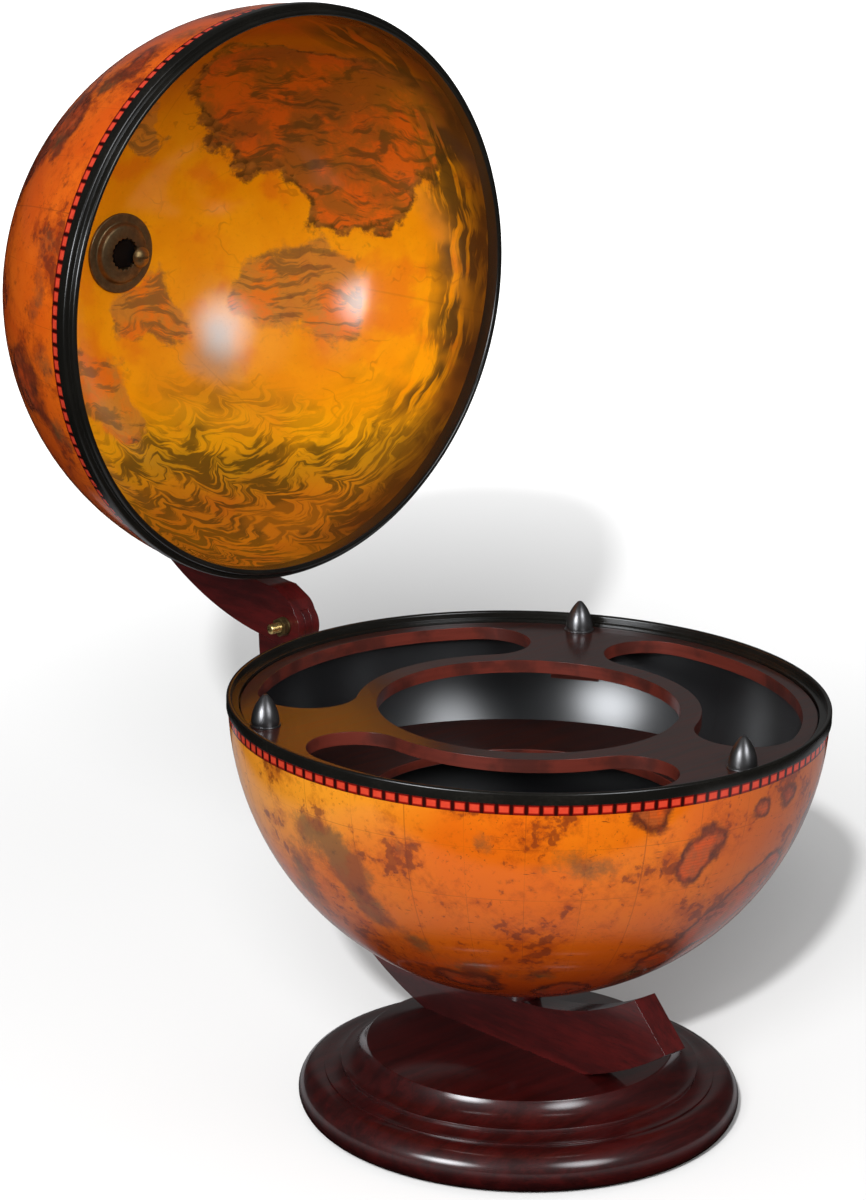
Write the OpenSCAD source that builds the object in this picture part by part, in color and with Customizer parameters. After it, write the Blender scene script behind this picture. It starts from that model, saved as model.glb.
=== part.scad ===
// Tabletop globe bar: a bowl and a hinged lid, both half globes, carried by two curved arms on a turned base.
// Millimetres. +Z is up, +Y is the hinge side, X runs along the hinge bolt.
// The origin lies on the table, under the middle of the globe. The lid is drawn open, on its stop.

/* [Globe] */
// Outer radius of both half globes
globe_r = 165; // [155:1:180]
// Wall of the half globes
shell_t = 5; // [4:0.5:7]
// Thickness of the linings
lining_t = 1; // [0.6:0.1:1.6]
// Gap between the two rims when the lid is shut
rim_gap = 0.4; // [0.3:0.1:1]
// Angle that the lid opens by
open_angle = 90; // [80:1:95]

/* [Rim trim] */
// Height of the black band on the outside of a rim
trim_h = 6.3; // [4:0.1:9]
// How far the band stands out from the globe
trim_proud = 0.8; // [0.4:0.1:1.5]
// Wall of the band on the outside
trim_wall = 1.4; // [1:0.1:2]
// Thickness of the band across the rim
trim_top = 1.5; // [1:0.1:2.5]
// Height of the lid's lip, which shuts into a rebate in the bowl's rim
rebate_h = 4; // [3:0.1:4]
// Share of the rim's width that this lip takes
rebate_share = 0.5; // [0.45:0.01:0.55]

/* [Base] */
// Radius of the turned base over its bead
base_r = 124; // [110:1:140]
// Height of the base with its felt
base_h = 38; // [34:0.5:46]
// Radius of the half-round bead
bead_r = 12.3; // [9:0.1:13.5]
// Radius of the flat platform
platform_r = 85.7; // [78:0.1:92]
// Radius of the quarter-round under the platform
ovolo_r = 15.2; // [13:0.1:18]
// Radius of the step under the quarter-round
step_r = 100.3; // [98.5:0.1:104]
// Width of the cove between the step and the bead
cove_w = 8; // [5:0.5:8.5]
// Depth of the cove
cove_h = 2; // [1:0.1:2.2]
// Radius of the felt pad
felt_r = 106; // [90:1:108]
// Thickness of the felt pad
felt_t = 1; // [0.8:0.1:2]

/* [Arms] */
// Thickness of the arm boards
arm_t = 16; // [14:0.5:22]
// Gap between the globe and an arm at the poles
arm_clear = 11; // [8:0.5:15]
// Height of the lower arm over the base, under the pole
foot_h = 31; // [26:0.5:34]
// Radius of the lower arm's outer edge, past the globe
lower_out = 46.5; // [44:0.5:50]
// How far that edge's centre lies towards the hinge
lower_shift = 5.9; // [4:0.1:8]
// How far the lower arm's inner edge opens away towards the rim
lower_ease = 7.45; // [5:0.05:9]
// How far the lower arm runs on past the pole
nose_angle = 32.6; // [26:0.1:36]
// Lean of the cut at the lower arm's free end
nose_lean = 11.5; // [0:0.5:16]
// Depth of the upper arm at the pole
tail_h = 22.7; // [20:0.1:26]
// How far the upper arm runs on past the pole
tail_angle = 10; // [7:0.5:14]

/* [Hinge] */
// Distance from the globe's outside to the hinge bolt
hinge_out = 29; // [26:0.5:33]
// Depth of the hinge bolt below the rim
hinge_drop = 3.5; // [1:0.1:6]
// Radius of the knuckle
knuckle_r = 12.5; // [11.5:0.1:14]
// Thickness of the tongue on the lower arm
tongue_t = 4.8; // [3.5:0.1:6]
// Diameter of the hinge bolt
bolt_d = 6; // [5:0.1:7]
// Length of the hinge bolt past its nut
bolt_tail = 7; // [4:0.5:10]

/* [Tray and shelf] */
// Depth of the tray's top below the rim
tray_drop = 5.5; // [5:0.1:9]
// Thickness of the tray
tray_t = 7.5; // [6:0.5:9]
// Wood between the tray's edge and its glass slots
slot_rim = 8.2; // [7:0.1:12]
// Width of the glass slots
slot_w = 55; // [48:0.5:60]
// Wood between the glass slots and the middle hole
slot_web = 11.6; // [8:0.1:14]
// Width of a spoke between two slots
spoke_w = 44; // [38:1:52]
// Turn of the pegs and spokes round the globe
peg_turn = 4; // [0:1:12]
// Distance of the pegs from the tray's edge
peg_inset = 8.7; // [8.7:0.1:12]
// Height of a peg over the tray
peg_h = 17.5; // [15:0.5:19]
// Radius of a peg
peg_r = 7.8; // [6.5:0.1:8]
// Depth of the shelf's top below the rim
shelf_drop = 61; // [50:1:75]
// Thickness of the shelf
shelf_t = 6; // [4:0.5:9]
// Width of the shelf ring
shelf_w = 55.2; // [48:0.1:62]

/* [Pole fittings] */
// Radius of a pole flange
flange_r = 24; // [20:0.5:28]
// Thickness of a pole flange
flange_t = 2.2; // [1.6:0.1:3]
// Radius of the raised boss
boss_r = 15.5; // [14.8:0.1:17]
// Height of the boss from the lining
boss_h = 7; // [6.8:0.1:9]
// Diameter of the pole bolts
pole_d = 8; // [6:0.5:9]
// Width across the flats of a pole bolt's head
head_af = 16.5; // [15:0.1:16.8]

/* [Hidden] */
$fn = 96;

// Clearances
seat_gap = 0.05;      // between two curved faces that are glued or pressed together
swing_gap = 0.3;      // between faces that pass each other in the hinge
stop_gap = 0.2;       // between the opened upper arm and the shoulder that it rests on
bore_gap = 0.06;      // round a bolt that turns in its bore
hole_gap = 0.2;       // round a fixed bolt in its hole
tray_gap = 0.3;       // round the tray and the shelf inside the lining
rebate_gap = 0.5;     // round the lid's lip inside the bowl's rim

// Globe
shell_ri = globe_r - shell_t;
lining_ri = shell_ri - lining_t;
pole_z = globe_r + arm_clear;
globe_z = base_h + foot_h + pole_z;
trim_r = globe_r + trim_proud;
lid_lip_r = lining_ri + (trim_r - lining_ri) * rebate_share;
bowl_lip_r = lid_lip_r + rebate_gap;
lip_round = 0.8;                   // rounding of the lips' corners
bowl_seat = rebate_h + trim_top;   // depth of the bowl's edge below its rim
bowl_leg = bowl_seat + 2;          // depth of each band's inner leg below its rim
lid_leg = 5;

// Base, between its turned forms
quirk_w = 1.2;
quirk_h = 0.8;
step_in = 1.8;

// Arms, in a side view whose origin is the middle of the globe
lower_r = globe_r + lower_out;
lower_sink = 2;
inner_shift = 2.2;
inner_r = pole_z + lower_ease;
upper_out = 38.7;
upper_r = globe_r + upper_out;
upper_shift = 1.5;
upper_sink = upper_r - pole_z - tail_h;
upper_inner_rise = 1;
upper_inner_r = pole_z - upper_inner_rise;
far = 3 * globe_r;

// Hinge, where the shares are of the knuckle's radius
shoulder_share = 0.76;  // depth of the lower board's top below the bolt
tongue_back = 0.74;     // reach of the tongue's root towards the globe
tongue_root_w = 0.82;   // width of that root
tongue_root_h = 1.6;    // depth of that root below the bolt
cheek_in = 0.4;         // how far the upper arm's round end lies from the bolt towards the globe
cheek_up = 0.264;       // how far it lies above the bolt, with the lid shut
cheek_lead = 3.6;       // by which the inner edge runs nearer to the globe than that end
cheek_dir = 205;        // direction in which that end runs out into the inner edge
hinge_y = globe_r + hinge_out;
hinge_z = -hinge_drop;
fork_gap = tongue_t + 2 * swing_gap;
cheek_r = knuckle_r - stop_gap / 2;
upper_inner_shift = hinge_y - knuckle_r * cheek_in - cheek_r - cheek_lead - upper_inner_r;
tangent_dy = hinge_y - upper_shift;
tangent_dz = hinge_z - (rim_gap - upper_sink);
tangent_len = norm([tangent_dy, tangent_dz]);
tangent_dir = atan2(tangent_dz, tangent_dy) + acos((upper_r - knuckle_r) / tangent_len);
washer_t = 1.2;
washer_r = 5.5;
nut_af = 10;
nut_t = 3.2;
hinge_head_r = 6;
hinge_head_h = 3.6;
hinge_head_rim = 0.2;   // edge left under the head's dome
hinge_bolt_end = 0.8;   // chamfer on the bolt's end

// Tray, shelf and pegs
tray_r = ring_in_globe(tray_drop + tray_t, tray_gap);
slot_out = tray_r - slot_rim;
slot_in = slot_out - slot_w;
hole_r = slot_in - slot_web;
slot_end_r = slot_w / 2;
slot_mid = slot_in + slot_end_r;
peg_count = 3;
peg_pitch = 360 / peg_count;
slot_half = peg_pitch / 2 - asin((spoke_w / 2 + slot_end_r) / slot_mid);
peg_angles = [for (i = [0 : peg_count - 1]) peg_pitch / 4 + peg_turn + peg_pitch * i];
peg_ring = tray_r - peg_inset;
shelf_hole_r = ring_in_globe(shelf_drop + shelf_t / 2, tray_gap) - shelf_w;
peg_tip_r = 2.4;
peg_foot_h = 1;
peg_foot_w = 0.7;
stud_r = 2;
stud_l = 22;
block_w = 28;
block_h = 20;
block_reach = 19.2;
block_in = tray_r - block_reach;

// Pole fittings
head_t = 4.6;
head_crown = 0.8;
head_ease = 0.3;
star_r = (head_af + 0.4) / 2 / cos(30);
seat_h = boss_h - head_t - 1;
spacer_r = 11;
lock_ring = 12;
lock_head_r = 4;
lock_shank_r = 1.6;
lock_dome_r = 5.2;
lock_dome_h = 2.2;
lock_foot = 0.5;
lock_joint = 0.1;
insert_r = 5.5;
insert_l = 17;
cap_af = 13;
cap_h = 10;
cap_hex_h = cap_h / 2;
cap_dome_r = cap_af * 0.55;
cap_bore = cap_h * 0.65;
cap_grip = cap_h * 0.6;
pole_washer_r = arm_t / 2;
pole_washer_t = 1.6;
flat_cut = 0.6;

// Base screws
screw_y = 32;
screw_r = 2.5;
screw_head_r = 5;
screw_head_h = 3;
screw_grip = 26;
screw_sink = base_h - screw_grip;
screw_bite = 20;
screw_tip = 6;
screw_point_r = 0.4;
screw_well_gap = 0.5;

// Radius of a level disc that fits in the lining at a depth below the rim
function ring_in_globe(depth, gap) = sqrt(pow(lining_ri - gap, 2) - depth * depth);

// Point at an angle and a distance from a centre
function polar(c, a, r) = [c[0] + r * cos(a), c[1] + r * sin(a)];

// Stands a side view up: its first axis becomes +Y and its second +Z
module side_plate(thickness) {
    rotate([90, 0, 90])
        linear_extrude(height = thickness, center = true)
            children();
}

// Moves what is drawn round the middle of the shut lid to where the open lid has it
module in_open_lid() {
    translate([0, hinge_y, globe_z + hinge_z])
        rotate([-open_angle, 0, 0])
            translate([0, -hinge_y, rim_gap - hinge_z])
                children();
}

// Round bar along X with its middle on the hinge axis
module hinge_bar(r, x0, x1) {
    translate([x0, hinge_y, globe_z + hinge_z])
        rotate([0, 90, 0])
            cylinder(r = r, h = x1 - x0);
}

// Half globe below its rim, open at the top
module half_ball(r_out, r_in, top) {
    difference() {
        sphere(r = r_out);
        sphere(r = r_in);
        translate([-far, -far, -top])
            cube([2 * far, 2 * far, far]);
    }
}

// Shell of a half globe up to its seat for the trim, rebated for that and bored at the pole
module shell_half(seat) {
    difference() {
        half_ball(globe_r, shell_ri, seat + seat_gap);
        difference() {
            translate([0, 0, -trim_h - seat_gap])
                cylinder(r = globe_r + 1, h = trim_h + 1);
            translate([0, 0, -trim_h - 1])
                cylinder(r = trim_r - trim_wall - seat_gap, h = trim_h + 2);
        }
        translate([0, 0, -globe_r - 1])
            cylinder(r = pole_d / 2 + hole_gap, h = shell_t + 2);
    }
}

// Lining of a half globe, up to the inner leg of the trim
module lining_half(leg) {
    difference() {
        half_ball(shell_ri - seat_gap, lining_ri, leg + seat_gap);
        translate([0, 0, -globe_r])
            cylinder(r = pole_d / 2 + hole_gap, h = shell_t + 2);
    }
}

// Section of a bar in a ring, with both corners of its top rounded
module round_bar(r0, r1, z0, z1) {
    translate([r0, z0])
        square([r1 - r0, z1 - z0 - lip_round]);
    translate([r0 + lip_round, z0])
        square([r1 - r0 - 2 * lip_round, z1 - z0]);
    for (r = [r0 + lip_round, r1 - lip_round])
        translate([r, z1 - lip_round])
            circle(r = lip_round);
}

// Section of the outer wall of a band, and of its inner leg, both from a level down
module band_legs(top, leg) {
    translate([trim_r - trim_wall, -trim_h])
        square([trim_wall, trim_h - top]);
    translate([lining_ri, -leg])
        square([sqrt(pow(shell_ri, 2) - pow(leg, 2)) - seat_gap - lining_ri, leg - top]);
}

// Band over the bowl's rim, with a rebate inside its lip
module bowl_band() {
    rotate_extrude() {
        band_legs(rebate_h, bowl_leg);
        round_bar(bowl_lip_r, trim_r, -bowl_seat, 0);
        translate([lining_ri, -bowl_seat])
            square([trim_r - trim_wall - lining_ri, trim_top]);
    }
}

// Band over the lid's rim, with the lip that shuts into the bowl's rebate
module lid_band() {
    rotate_extrude() {
        band_legs(lip_round, lid_leg);
        round_bar(lining_ri, trim_r, -trim_top, 0);
        round_bar(lining_ri, lid_lip_r, -trim_top, rebate_h);
    }
}

// Flange inside a pole, with a boss whose star-shaped hole holds the head of the pole bolt
module pole_flange() {
    difference() {
        union() {
            intersection() {
                half_ball(lining_ri - seat_gap, lining_ri - flange_t, 0);
                translate([0, 0, -globe_r])
                    cylinder(r = flange_r, h = globe_r);
            }
            intersection() {
                sphere(r = lining_ri - seat_gap);
                translate([0, 0, -lining_ri])
                    cylinder(r = boss_r, h = boss_h);
            }
        }
        translate([0, 0, -lining_ri + seat_h])
            for (turn = [0, 30])
                rotate(turn)
                    cylinder(r = star_r, h = boss_h, $fn = 6);
        translate([0, 0, -globe_r])
            cylinder(r = pole_d / 2 + hole_gap, h = globe_r);
        translate([lock_ring, 0, -lining_ri + seat_h])
            cylinder(r = lock_shank_r + seat_gap, h = boss_h);
    }
}

// Pole bolt: a hexagonal head with a chamfered top and a shank down to a given depth from the centre
module pole_bolt(depth) {
    head_z = -lining_ri + seat_h + seat_gap;
    translate([0, 0, head_z])
        cylinder(r = head_af / 2 / cos(30), h = head_t - head_crown, $fn = 6);
    translate([0, 0, head_z + head_t - head_crown])
        cylinder(r = head_af / 2 - head_ease, h = head_crown);
    translate([0, 0, -depth])
        cylinder(r = pole_d / 2, h = depth + head_z + 1);
}

// Domed screw that locks the pole bolt's head in the star-shaped hole
module lock_screw() {
    top = -lining_ri + boss_h;
    translate([lock_ring, 0, 0]) {
        translate([0, 0, -lining_ri + seat_h + lock_foot])
            cylinder(r = lock_shank_r, h = boss_h - seat_h - lock_foot + lock_joint);
        intersection() {
            translate([0, 0, top + seat_gap])
                cylinder(r = lock_head_r, h = lock_head_r);
            translate([0, 0, top + lock_dome_h - lock_dome_r])
                sphere(r = lock_dome_r);
        }
    }
}

// Collar between a globe's pole and the arm
module pole_spacer() {
    difference() {
        translate([0, 0, -pole_z])
            cylinder(r = spacer_r, h = arm_clear + shell_t);
        sphere(r = globe_r + seat_gap);
        translate([0, 0, -pole_z - 1])
            cylinder(r = pole_d / 2 + hole_gap, h = arm_clear + shell_t + 2);
    }
}

// Turned profile of the base, from its middle outwards
module base_profile() {
    bead_c = base_r - bead_r;
    bead_top = felt_t + 2 * bead_r;
    fillet_r = step_r + cove_w + quirk_w;
    fillet_top = bead_top + quirk_h;
    cove_r = (cove_w * cove_w + cove_h * cove_h) / (2 * cove_h);
    cove_out = step_r + cove_w;
    step_top = base_h - ovolo_r + sqrt(pow(ovolo_r, 2) - pow(step_r - step_in - platform_r, 2));
    translate([0, felt_t])
        square([bead_c, 2 * bead_r]);
    translate([bead_c, felt_t + bead_r])
        circle(r = bead_r);
    translate([0, felt_t])
        square([min(fillet_r, bead_c), fillet_top - felt_t]);
    difference() {
        translate([0, felt_t])
            square([min(cove_out, bead_c - 1), fillet_top + cove_h - felt_t]);
        translate([cove_out, fillet_top + cove_r])
            circle(r = cove_r, $fn = 180);
    }
    translate([0, felt_t])
        square([step_r, max(step_top, fillet_top + cove_h + 1) - felt_t]);
    translate([0, felt_t])
        square([platform_r, base_h - felt_t]);
    intersection() {
        translate([platform_r, base_h - ovolo_r])
            circle(r = ovolo_r);
        translate([0, felt_t])
            square([base_r, base_h]);
    }
}

// One wood screw from under the base into the arm, point up
module base_screw() {
    shank_top = base_h + screw_bite;
    translate([0, 0, screw_sink])
        cylinder(r1 = screw_head_r, r2 = screw_r, h = screw_head_h);
    translate([0, 0, screw_sink])
        cylinder(r = screw_r, h = shank_top - screw_sink - screw_tip);
    translate([0, 0, shank_top - screw_tip])
        cylinder(r1 = screw_r, r2 = screw_point_r, h = screw_tip);
}

// Side view of the lower arm, without its tongue
module lower_profile() {
    nose = polar([0, 0], -90 - nose_angle, inner_edge(-90 - nose_angle));
    seat_line = polar([hinge_y, hinge_z], tangent_dir - open_angle, knuckle_r + stop_gap);
    difference() {
        translate([lower_shift, -lower_sink])
            circle(r = lower_r, $fn = 180);
        translate([inner_shift, lower_ease])
            circle(r = inner_r, $fn = 180);
        translate([-far, -pole_z - foot_h - far])
            square([2 * far, far]);
        translate(nose)
            rotate(-90 - nose_angle - nose_lean)
                translate([-far, -far])
                    square([2 * far, far]);
        translate([-far, hinge_z - knuckle_r * shoulder_share])
            square([far + hinge_y, far]);
        translate(seat_line)
            rotate(tangent_dir - open_angle)
                translate([-far, 0])
                    square([far, far]);
        translate([hinge_y, hinge_z])
            circle(r = knuckle_r + swing_gap);
        translate([-spacer_r - 1, -pole_z])
            square([2 * spacer_r + 2, far]);
    }
}

// Distance from the globe's middle to the lower arm's inner edge, along a direction
function inner_edge(a) =
    inner_shift * cos(a) + lower_ease * sin(a)
    + sqrt(inner_r * inner_r - pow(inner_shift * sin(a) - lower_ease * cos(a), 2));

// Side view of the tongue on the lower arm
module tongue_profile() {
    translate([hinge_y, hinge_z])
        circle(r = knuckle_r);
    translate([hinge_y - knuckle_r * tongue_back, hinge_z - knuckle_r * tongue_root_h])
        square([knuckle_r * tongue_root_w, knuckle_r * tongue_root_h]);
}

// Side view of the upper arm, with the lid shut and the origin in the middle of the lid
module upper_profile() {
    pivot = [hinge_y, hinge_z - rim_gap];
    arc_c = [upper_shift, -upper_sink];
    flat_in = polar(pivot, tangent_dir, knuckle_r);
    flat_out = polar(arc_c, tangent_dir, upper_r);
    cheek_c = [pivot[0] - knuckle_r * cheek_in, pivot[1] + knuckle_r * cheek_up];
    run_out = polar(cheek_c, cheek_dir, cheek_r);
    difference() {
        union() {
            intersection() {
                difference() {
                    translate(arc_c)
                        circle(r = upper_r, $fn = 180);
                    translate([upper_inner_shift, upper_inner_rise])
                        circle(r = upper_inner_r, $fn = 180);
                }
                translate([-far, run_out[1]])
                    square([2 * far, far]);
            }
            translate(pivot)
                circle(r = knuckle_r);
            translate(cheek_c)
                circle(r = cheek_r);
            polygon([pivot, flat_in, flat_out]);
        }
        translate(run_out)
            rotate(cheek_dir)
                translate([0, -2 * knuckle_r])
                    square([2 * knuckle_r, 3 * knuckle_r]);
        rotate(90 + tail_angle)
            square([far, far]);
        translate([-spacer_r - 1, 0])
            square([2 * spacer_r + 2, pole_z]);
        translate([-pole_washer_r - 1, pole_z + tail_h - flat_cut])
            square([2 * pole_washer_r + 2, far]);
    }
}

// Side view of one glass slot, round at both ends, about +X
module slot_profile() {
    intersection() {
        difference() {
            circle(r = slot_out, $fn = 180);
            circle(r = slot_in, $fn = 180);
        }
        polygon([[0, 0], polar([0, 0], -slot_half, far), polar([0, 0], slot_half, far)]);
    }
    for (side = [-1, 1])
        translate(polar([0, 0], side * slot_half, slot_mid))
            circle(r = slot_end_r);
}

// Peg with a thin foot and a body that narrows to a round tip, its foot on the tray
module peg() {
    rise = peg_h - peg_foot_h - peg_tip_r;
    side_r = (rise * rise + peg_r * peg_r - peg_tip_r * peg_tip_r) / (2 * (peg_r - peg_tip_r));
    tip_a = asin(rise / (side_r - peg_tip_r));
    rotate_extrude() {
        square([peg_r + peg_foot_w, peg_foot_h]);
        intersection() {
            translate([peg_r - side_r, peg_foot_h])
                circle(r = side_r, $fn = 180);
            translate([0, peg_foot_h - seat_gap])
                square([peg_r, side_r * sin(tip_a) + seat_gap]);
        }
        intersection() {
            translate([0, peg_h - peg_tip_r])
                circle(r = peg_tip_r);
            square([peg_r, peg_h]);
        }
    }
    translate([0, 0, -stud_l])
        cylinder(r = stud_r, h = stud_l + 1);
}

// Places a child at each peg, with the child's +X pointing outwards
module at_pegs(level) {
    for (a = peg_angles)
        rotate(a)
            translate([peg_ring, 0, globe_z + level])
                children();
}

module base_plinth() {
    color([0.17, 0.03, 0.03])
        difference() {
            rotate_extrude($fn = 180)
                base_profile();
            for (side = [-1, 1])
                translate([0, side * screw_y, 0]) {
                    translate([0, 0, -1])
                        cylinder(r = screw_head_r + screw_well_gap, h = screw_sink + 1);
                    translate([0, 0, screw_sink - 0.01])
                        cylinder(r1 = screw_head_r + hole_gap, r2 = screw_r + hole_gap, h = screw_head_h);
                    cylinder(r = screw_r + hole_gap, h = base_h + 1);
                }
        }
}

module base_felt() {
    color([0.05, 0.05, 0.05])
        cylinder(r = felt_r, h = felt_t, $fn = 180);
}

module base_screws() {
    color([0.6, 0.6, 0.58])
        for (side = [-1, 1])
            translate([0, side * screw_y, 0])
                base_screw();
}

module lower_arm() {
    color([0.2, 0.03, 0.03])
        difference() {
            translate([0, 0, globe_z])
                union() {
                    side_plate(arm_t)
                        lower_profile();
                    side_plate(tongue_t)
                        tongue_profile();
                }
            hinge_bar(bolt_d / 2 + bore_gap, -arm_t, arm_t);
            for (side = [-1, 1])
                translate([0, side * screw_y, base_h - 1])
                    cylinder(r = screw_r + seat_gap, h = screw_bite + 2);
            translate([0, 0, globe_z - pole_z - insert_l - 1])
                cylinder(r = insert_r + seat_gap, h = insert_l + 20);
        }
}

module bowl_shell() {
    color([0.8, 0.36, 0.08])
        translate([0, 0, globe_z])
            shell_half(bowl_seat);
}

module bowl_lining() {
    color([0.06, 0.06, 0.07])
        translate([0, 0, globe_z])
            lining_half(bowl_leg);
}

module bowl_trim() {
    color([0.09, 0.09, 0.08])
        translate([0, 0, globe_z])
            bowl_band();
}

module bowl_spacer() {
    color([0.2, 0.03, 0.03])
        translate([0, 0, globe_z])
            pole_spacer();
}

module bowl_flange() {
    color([0.32, 0.25, 0.15])
        translate([0, 0, globe_z])
            pole_flange();
}

module bowl_bolt() {
    color([0.3, 0.26, 0.2])
        translate([0, 0, globe_z])
            pole_bolt(pole_z + insert_l - 3);
}

module bowl_insert() {
    color([0.72, 0.56, 0.25])
        translate([0, 0, globe_z - pole_z - insert_l])
            difference() {
                cylinder(r = insert_r, h = insert_l - seat_gap);
                translate([0, 0, -1])
                    cylinder(r = pole_d / 2 + seat_gap, h = insert_l + 2);
            }
}

module bowl_lock_screw() {
    color([0.4, 0.32, 0.2])
        translate([0, 0, globe_z])
            lock_screw();
}

module bottle_shelf() {
    color([0.22, 0.05, 0.04])
        translate([0, 0, globe_z])
            difference() {
                intersection() {
                    sphere(r = lining_ri - tray_gap);
                    translate([0, 0, -shelf_drop - shelf_t])
                        cylinder(r = globe_r, h = shelf_t);
                }
                translate([0, 0, -shelf_drop - shelf_t - 1])
                    cylinder(r = shelf_hole_r, h = shelf_t + 2, $fn = 180);
            }
}

module tray() {
    color([0.36, 0.12, 0.08])
        difference() {
            translate([0, 0, globe_z - tray_drop - tray_t])
                linear_extrude(height = tray_t)
                    difference() {
                        circle(r = tray_r, $fn = 180);
                        circle(r = hole_r, $fn = 180);
                        for (a = peg_angles)
                            rotate(a + 60)
                                slot_profile();
                    }
            at_pegs(-tray_drop - tray_t - 1)
                cylinder(r = stud_r + hole_gap, h = tray_t + 2);
        }
}

module tray_blocks() {
    color([0.3, 0.1, 0.06])
        difference() {
            intersection() {
                translate([0, 0, globe_z])
                    sphere(r = lining_ri - seat_gap);
                for (a = peg_angles)
                    rotate(a)
                        translate([block_in, -block_w / 2, globe_z - tray_drop - tray_t - block_h])
                            cube([globe_r - block_in, block_w, block_h]);
            }
            at_pegs(-tray_drop - stud_l - 1)
                cylinder(r = stud_r + seat_gap, h = stud_l);
        }
}

module guide_pegs() {
    color([0.33, 0.33, 0.34])
        at_pegs(-tray_drop)
            peg();
}

// Half outline of the hinge bolt, its axis along +Y and the middle of the hinge at 0
module hinge_bolt_profile() {
    face = arm_t / 2 + swing_gap / 2;
    tail = face + washer_t + nut_t + bolt_tail;
    head_y = face + washer_t;
    dome_r = (hinge_head_r * hinge_head_r + hinge_head_h * hinge_head_h) / (2 * hinge_head_h);
    end = -tail + hinge_bolt_end;
    translate([0, end])
        square([bolt_d / 2, head_y + hinge_bolt_end - end]);
    polygon([[0, -tail], [bolt_d / 2 - hinge_bolt_end, -tail], [bolt_d / 2, end], [0, end]]);
    intersection() {
        translate([0, head_y + hinge_head_h - dome_r])
            circle(r = dome_r);
        translate([0, head_y])
            square([hinge_head_r - hinge_head_rim, hinge_head_h]);
    }
}

module hinge_bolt() {
    color([0.72, 0.58, 0.3])
        translate([0, hinge_y, globe_z + hinge_z])
            rotate([0, 90, 0])
                rotate_extrude()
                    hinge_bolt_profile();
}

module hinge_nut() {
    face = arm_t / 2 + swing_gap / 2;
    color([0.75, 0.6, 0.32])
        difference() {
            translate([-face - washer_t - nut_t, hinge_y, globe_z + hinge_z])
                rotate([0, 90, 0])
                    cylinder(r = nut_af / 2 / cos(30), h = nut_t, $fn = 6);
            hinge_bar(bolt_d / 2 + seat_gap, -2 * arm_t, 0);
        }
}

module hinge_washers() {
    face = arm_t / 2 + swing_gap / 2;
    color([0.7, 0.55, 0.28])
        difference() {
            union() {
                hinge_bar(washer_r, -face - washer_t, -face);
                hinge_bar(washer_r + 1.5, face, face + washer_t);
            }
            hinge_bar(bolt_d / 2 + seat_gap, -2 * arm_t, 2 * arm_t);
        }
}

module upper_arm() {
    color([0.2, 0.03, 0.03])
        in_open_lid()
            difference() {
                side_plate(arm_t)
                    upper_profile();
                translate([-fork_gap / 2, hinge_y, hinge_z - rim_gap])
                    rotate([0, 90, 0])
                        cylinder(r = knuckle_r + swing_gap + 0.1, h = fork_gap);
                translate([-arm_t, hinge_y, hinge_z - rim_gap])
                    rotate([0, 90, 0])
                        cylinder(r = bolt_d / 2 + bore_gap, h = 2 * arm_t);
                translate([0, 0, pole_z - 1])
                    cylinder(r = pole_d / 2 + hole_gap, h = tail_h + 2);
            }
}

// Turns a pole fitting, drawn below the middle of the globe, up into the lid
module in_lid_pole() {
    in_open_lid()
        mirror([0, 0, 1])
            children();
}

module lid_shell() {
    color([0.75, 0.3, 0.08])
        in_lid_pole()
            shell_half(trim_top);
}

module lid_lining() {
    color([0.84, 0.53, 0.07])
        in_lid_pole()
            lining_half(lid_leg);
}

module lid_trim() {
    color([0.09, 0.09, 0.08])
        in_lid_pole()
            lid_band();
}

module lid_spacer() {
    color([0.2, 0.03, 0.03])
        in_lid_pole()
            pole_spacer();
}

module lid_flange() {
    color([0.32, 0.25, 0.15])
        in_lid_pole()
            pole_flange();
}

module lid_bolt() {
    color([0.3, 0.26, 0.2])
        in_lid_pole()
            pole_bolt(pole_z + tail_h - flat_cut + pole_washer_t + cap_grip);
}

module lid_lock_screw() {
    color([0.4, 0.32, 0.2])
        in_lid_pole()
            lock_screw();
}

module lid_washer() {
    color([0.7, 0.55, 0.28])
        in_open_lid()
            translate([0, 0, pole_z + tail_h - flat_cut])
                difference() {
                    cylinder(r = pole_washer_r, h = pole_washer_t);
                    translate([0, 0, -1])
                        cylinder(r = pole_d / 2 + seat_gap, h = pole_washer_t + 2);
                }
}

module lid_cap_nut() {
    base = pole_z + tail_h - flat_cut + pole_washer_t;
    color([0.72, 0.58, 0.3])
        in_open_lid()
            difference() {
                union() {
                    translate([0, 0, base])
                        cylinder(r = cap_af / 2 / cos(30), h = cap_hex_h, $fn = 6);
                    intersection() {
                        translate([0, 0, base])
                            cylinder(r = cap_af / 2 - hinge_head_rim, h = cap_h);
                        translate([0, 0, base + cap_h - cap_dome_r])
                            sphere(r = cap_dome_r);
                    }
                }
                translate([0, 0, base - 1])
                    cylinder(r = pole_d / 2 + seat_gap, h = 1 + cap_bore);
            }
}

base_plinth();
base_felt();
base_screws();
lower_arm();
bowl_shell();
bowl_lining();
bowl_trim();
bowl_spacer();
bowl_flange();
bowl_bolt();
bowl_insert();
bowl_lock_screw();
bottle_shelf();
tray();
tray_blocks();
guide_pegs();
hinge_bolt();
hinge_nut();
hinge_washers();
upper_arm();
lid_shell();
lid_lining();
lid_trim();
lid_spacer();
lid_flange();
lid_bolt();
lid_lock_screw();
lid_washer();
lid_cap_nut();
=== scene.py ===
"""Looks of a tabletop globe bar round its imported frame: base, arms, half globes, tray, pegs and hinge."""
import logging
import math
from dataclasses import dataclass
from enum import Enum
from typing import Any, Sequence

import bmesh
import bpy
from mathutils import Matrix, Vector


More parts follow.
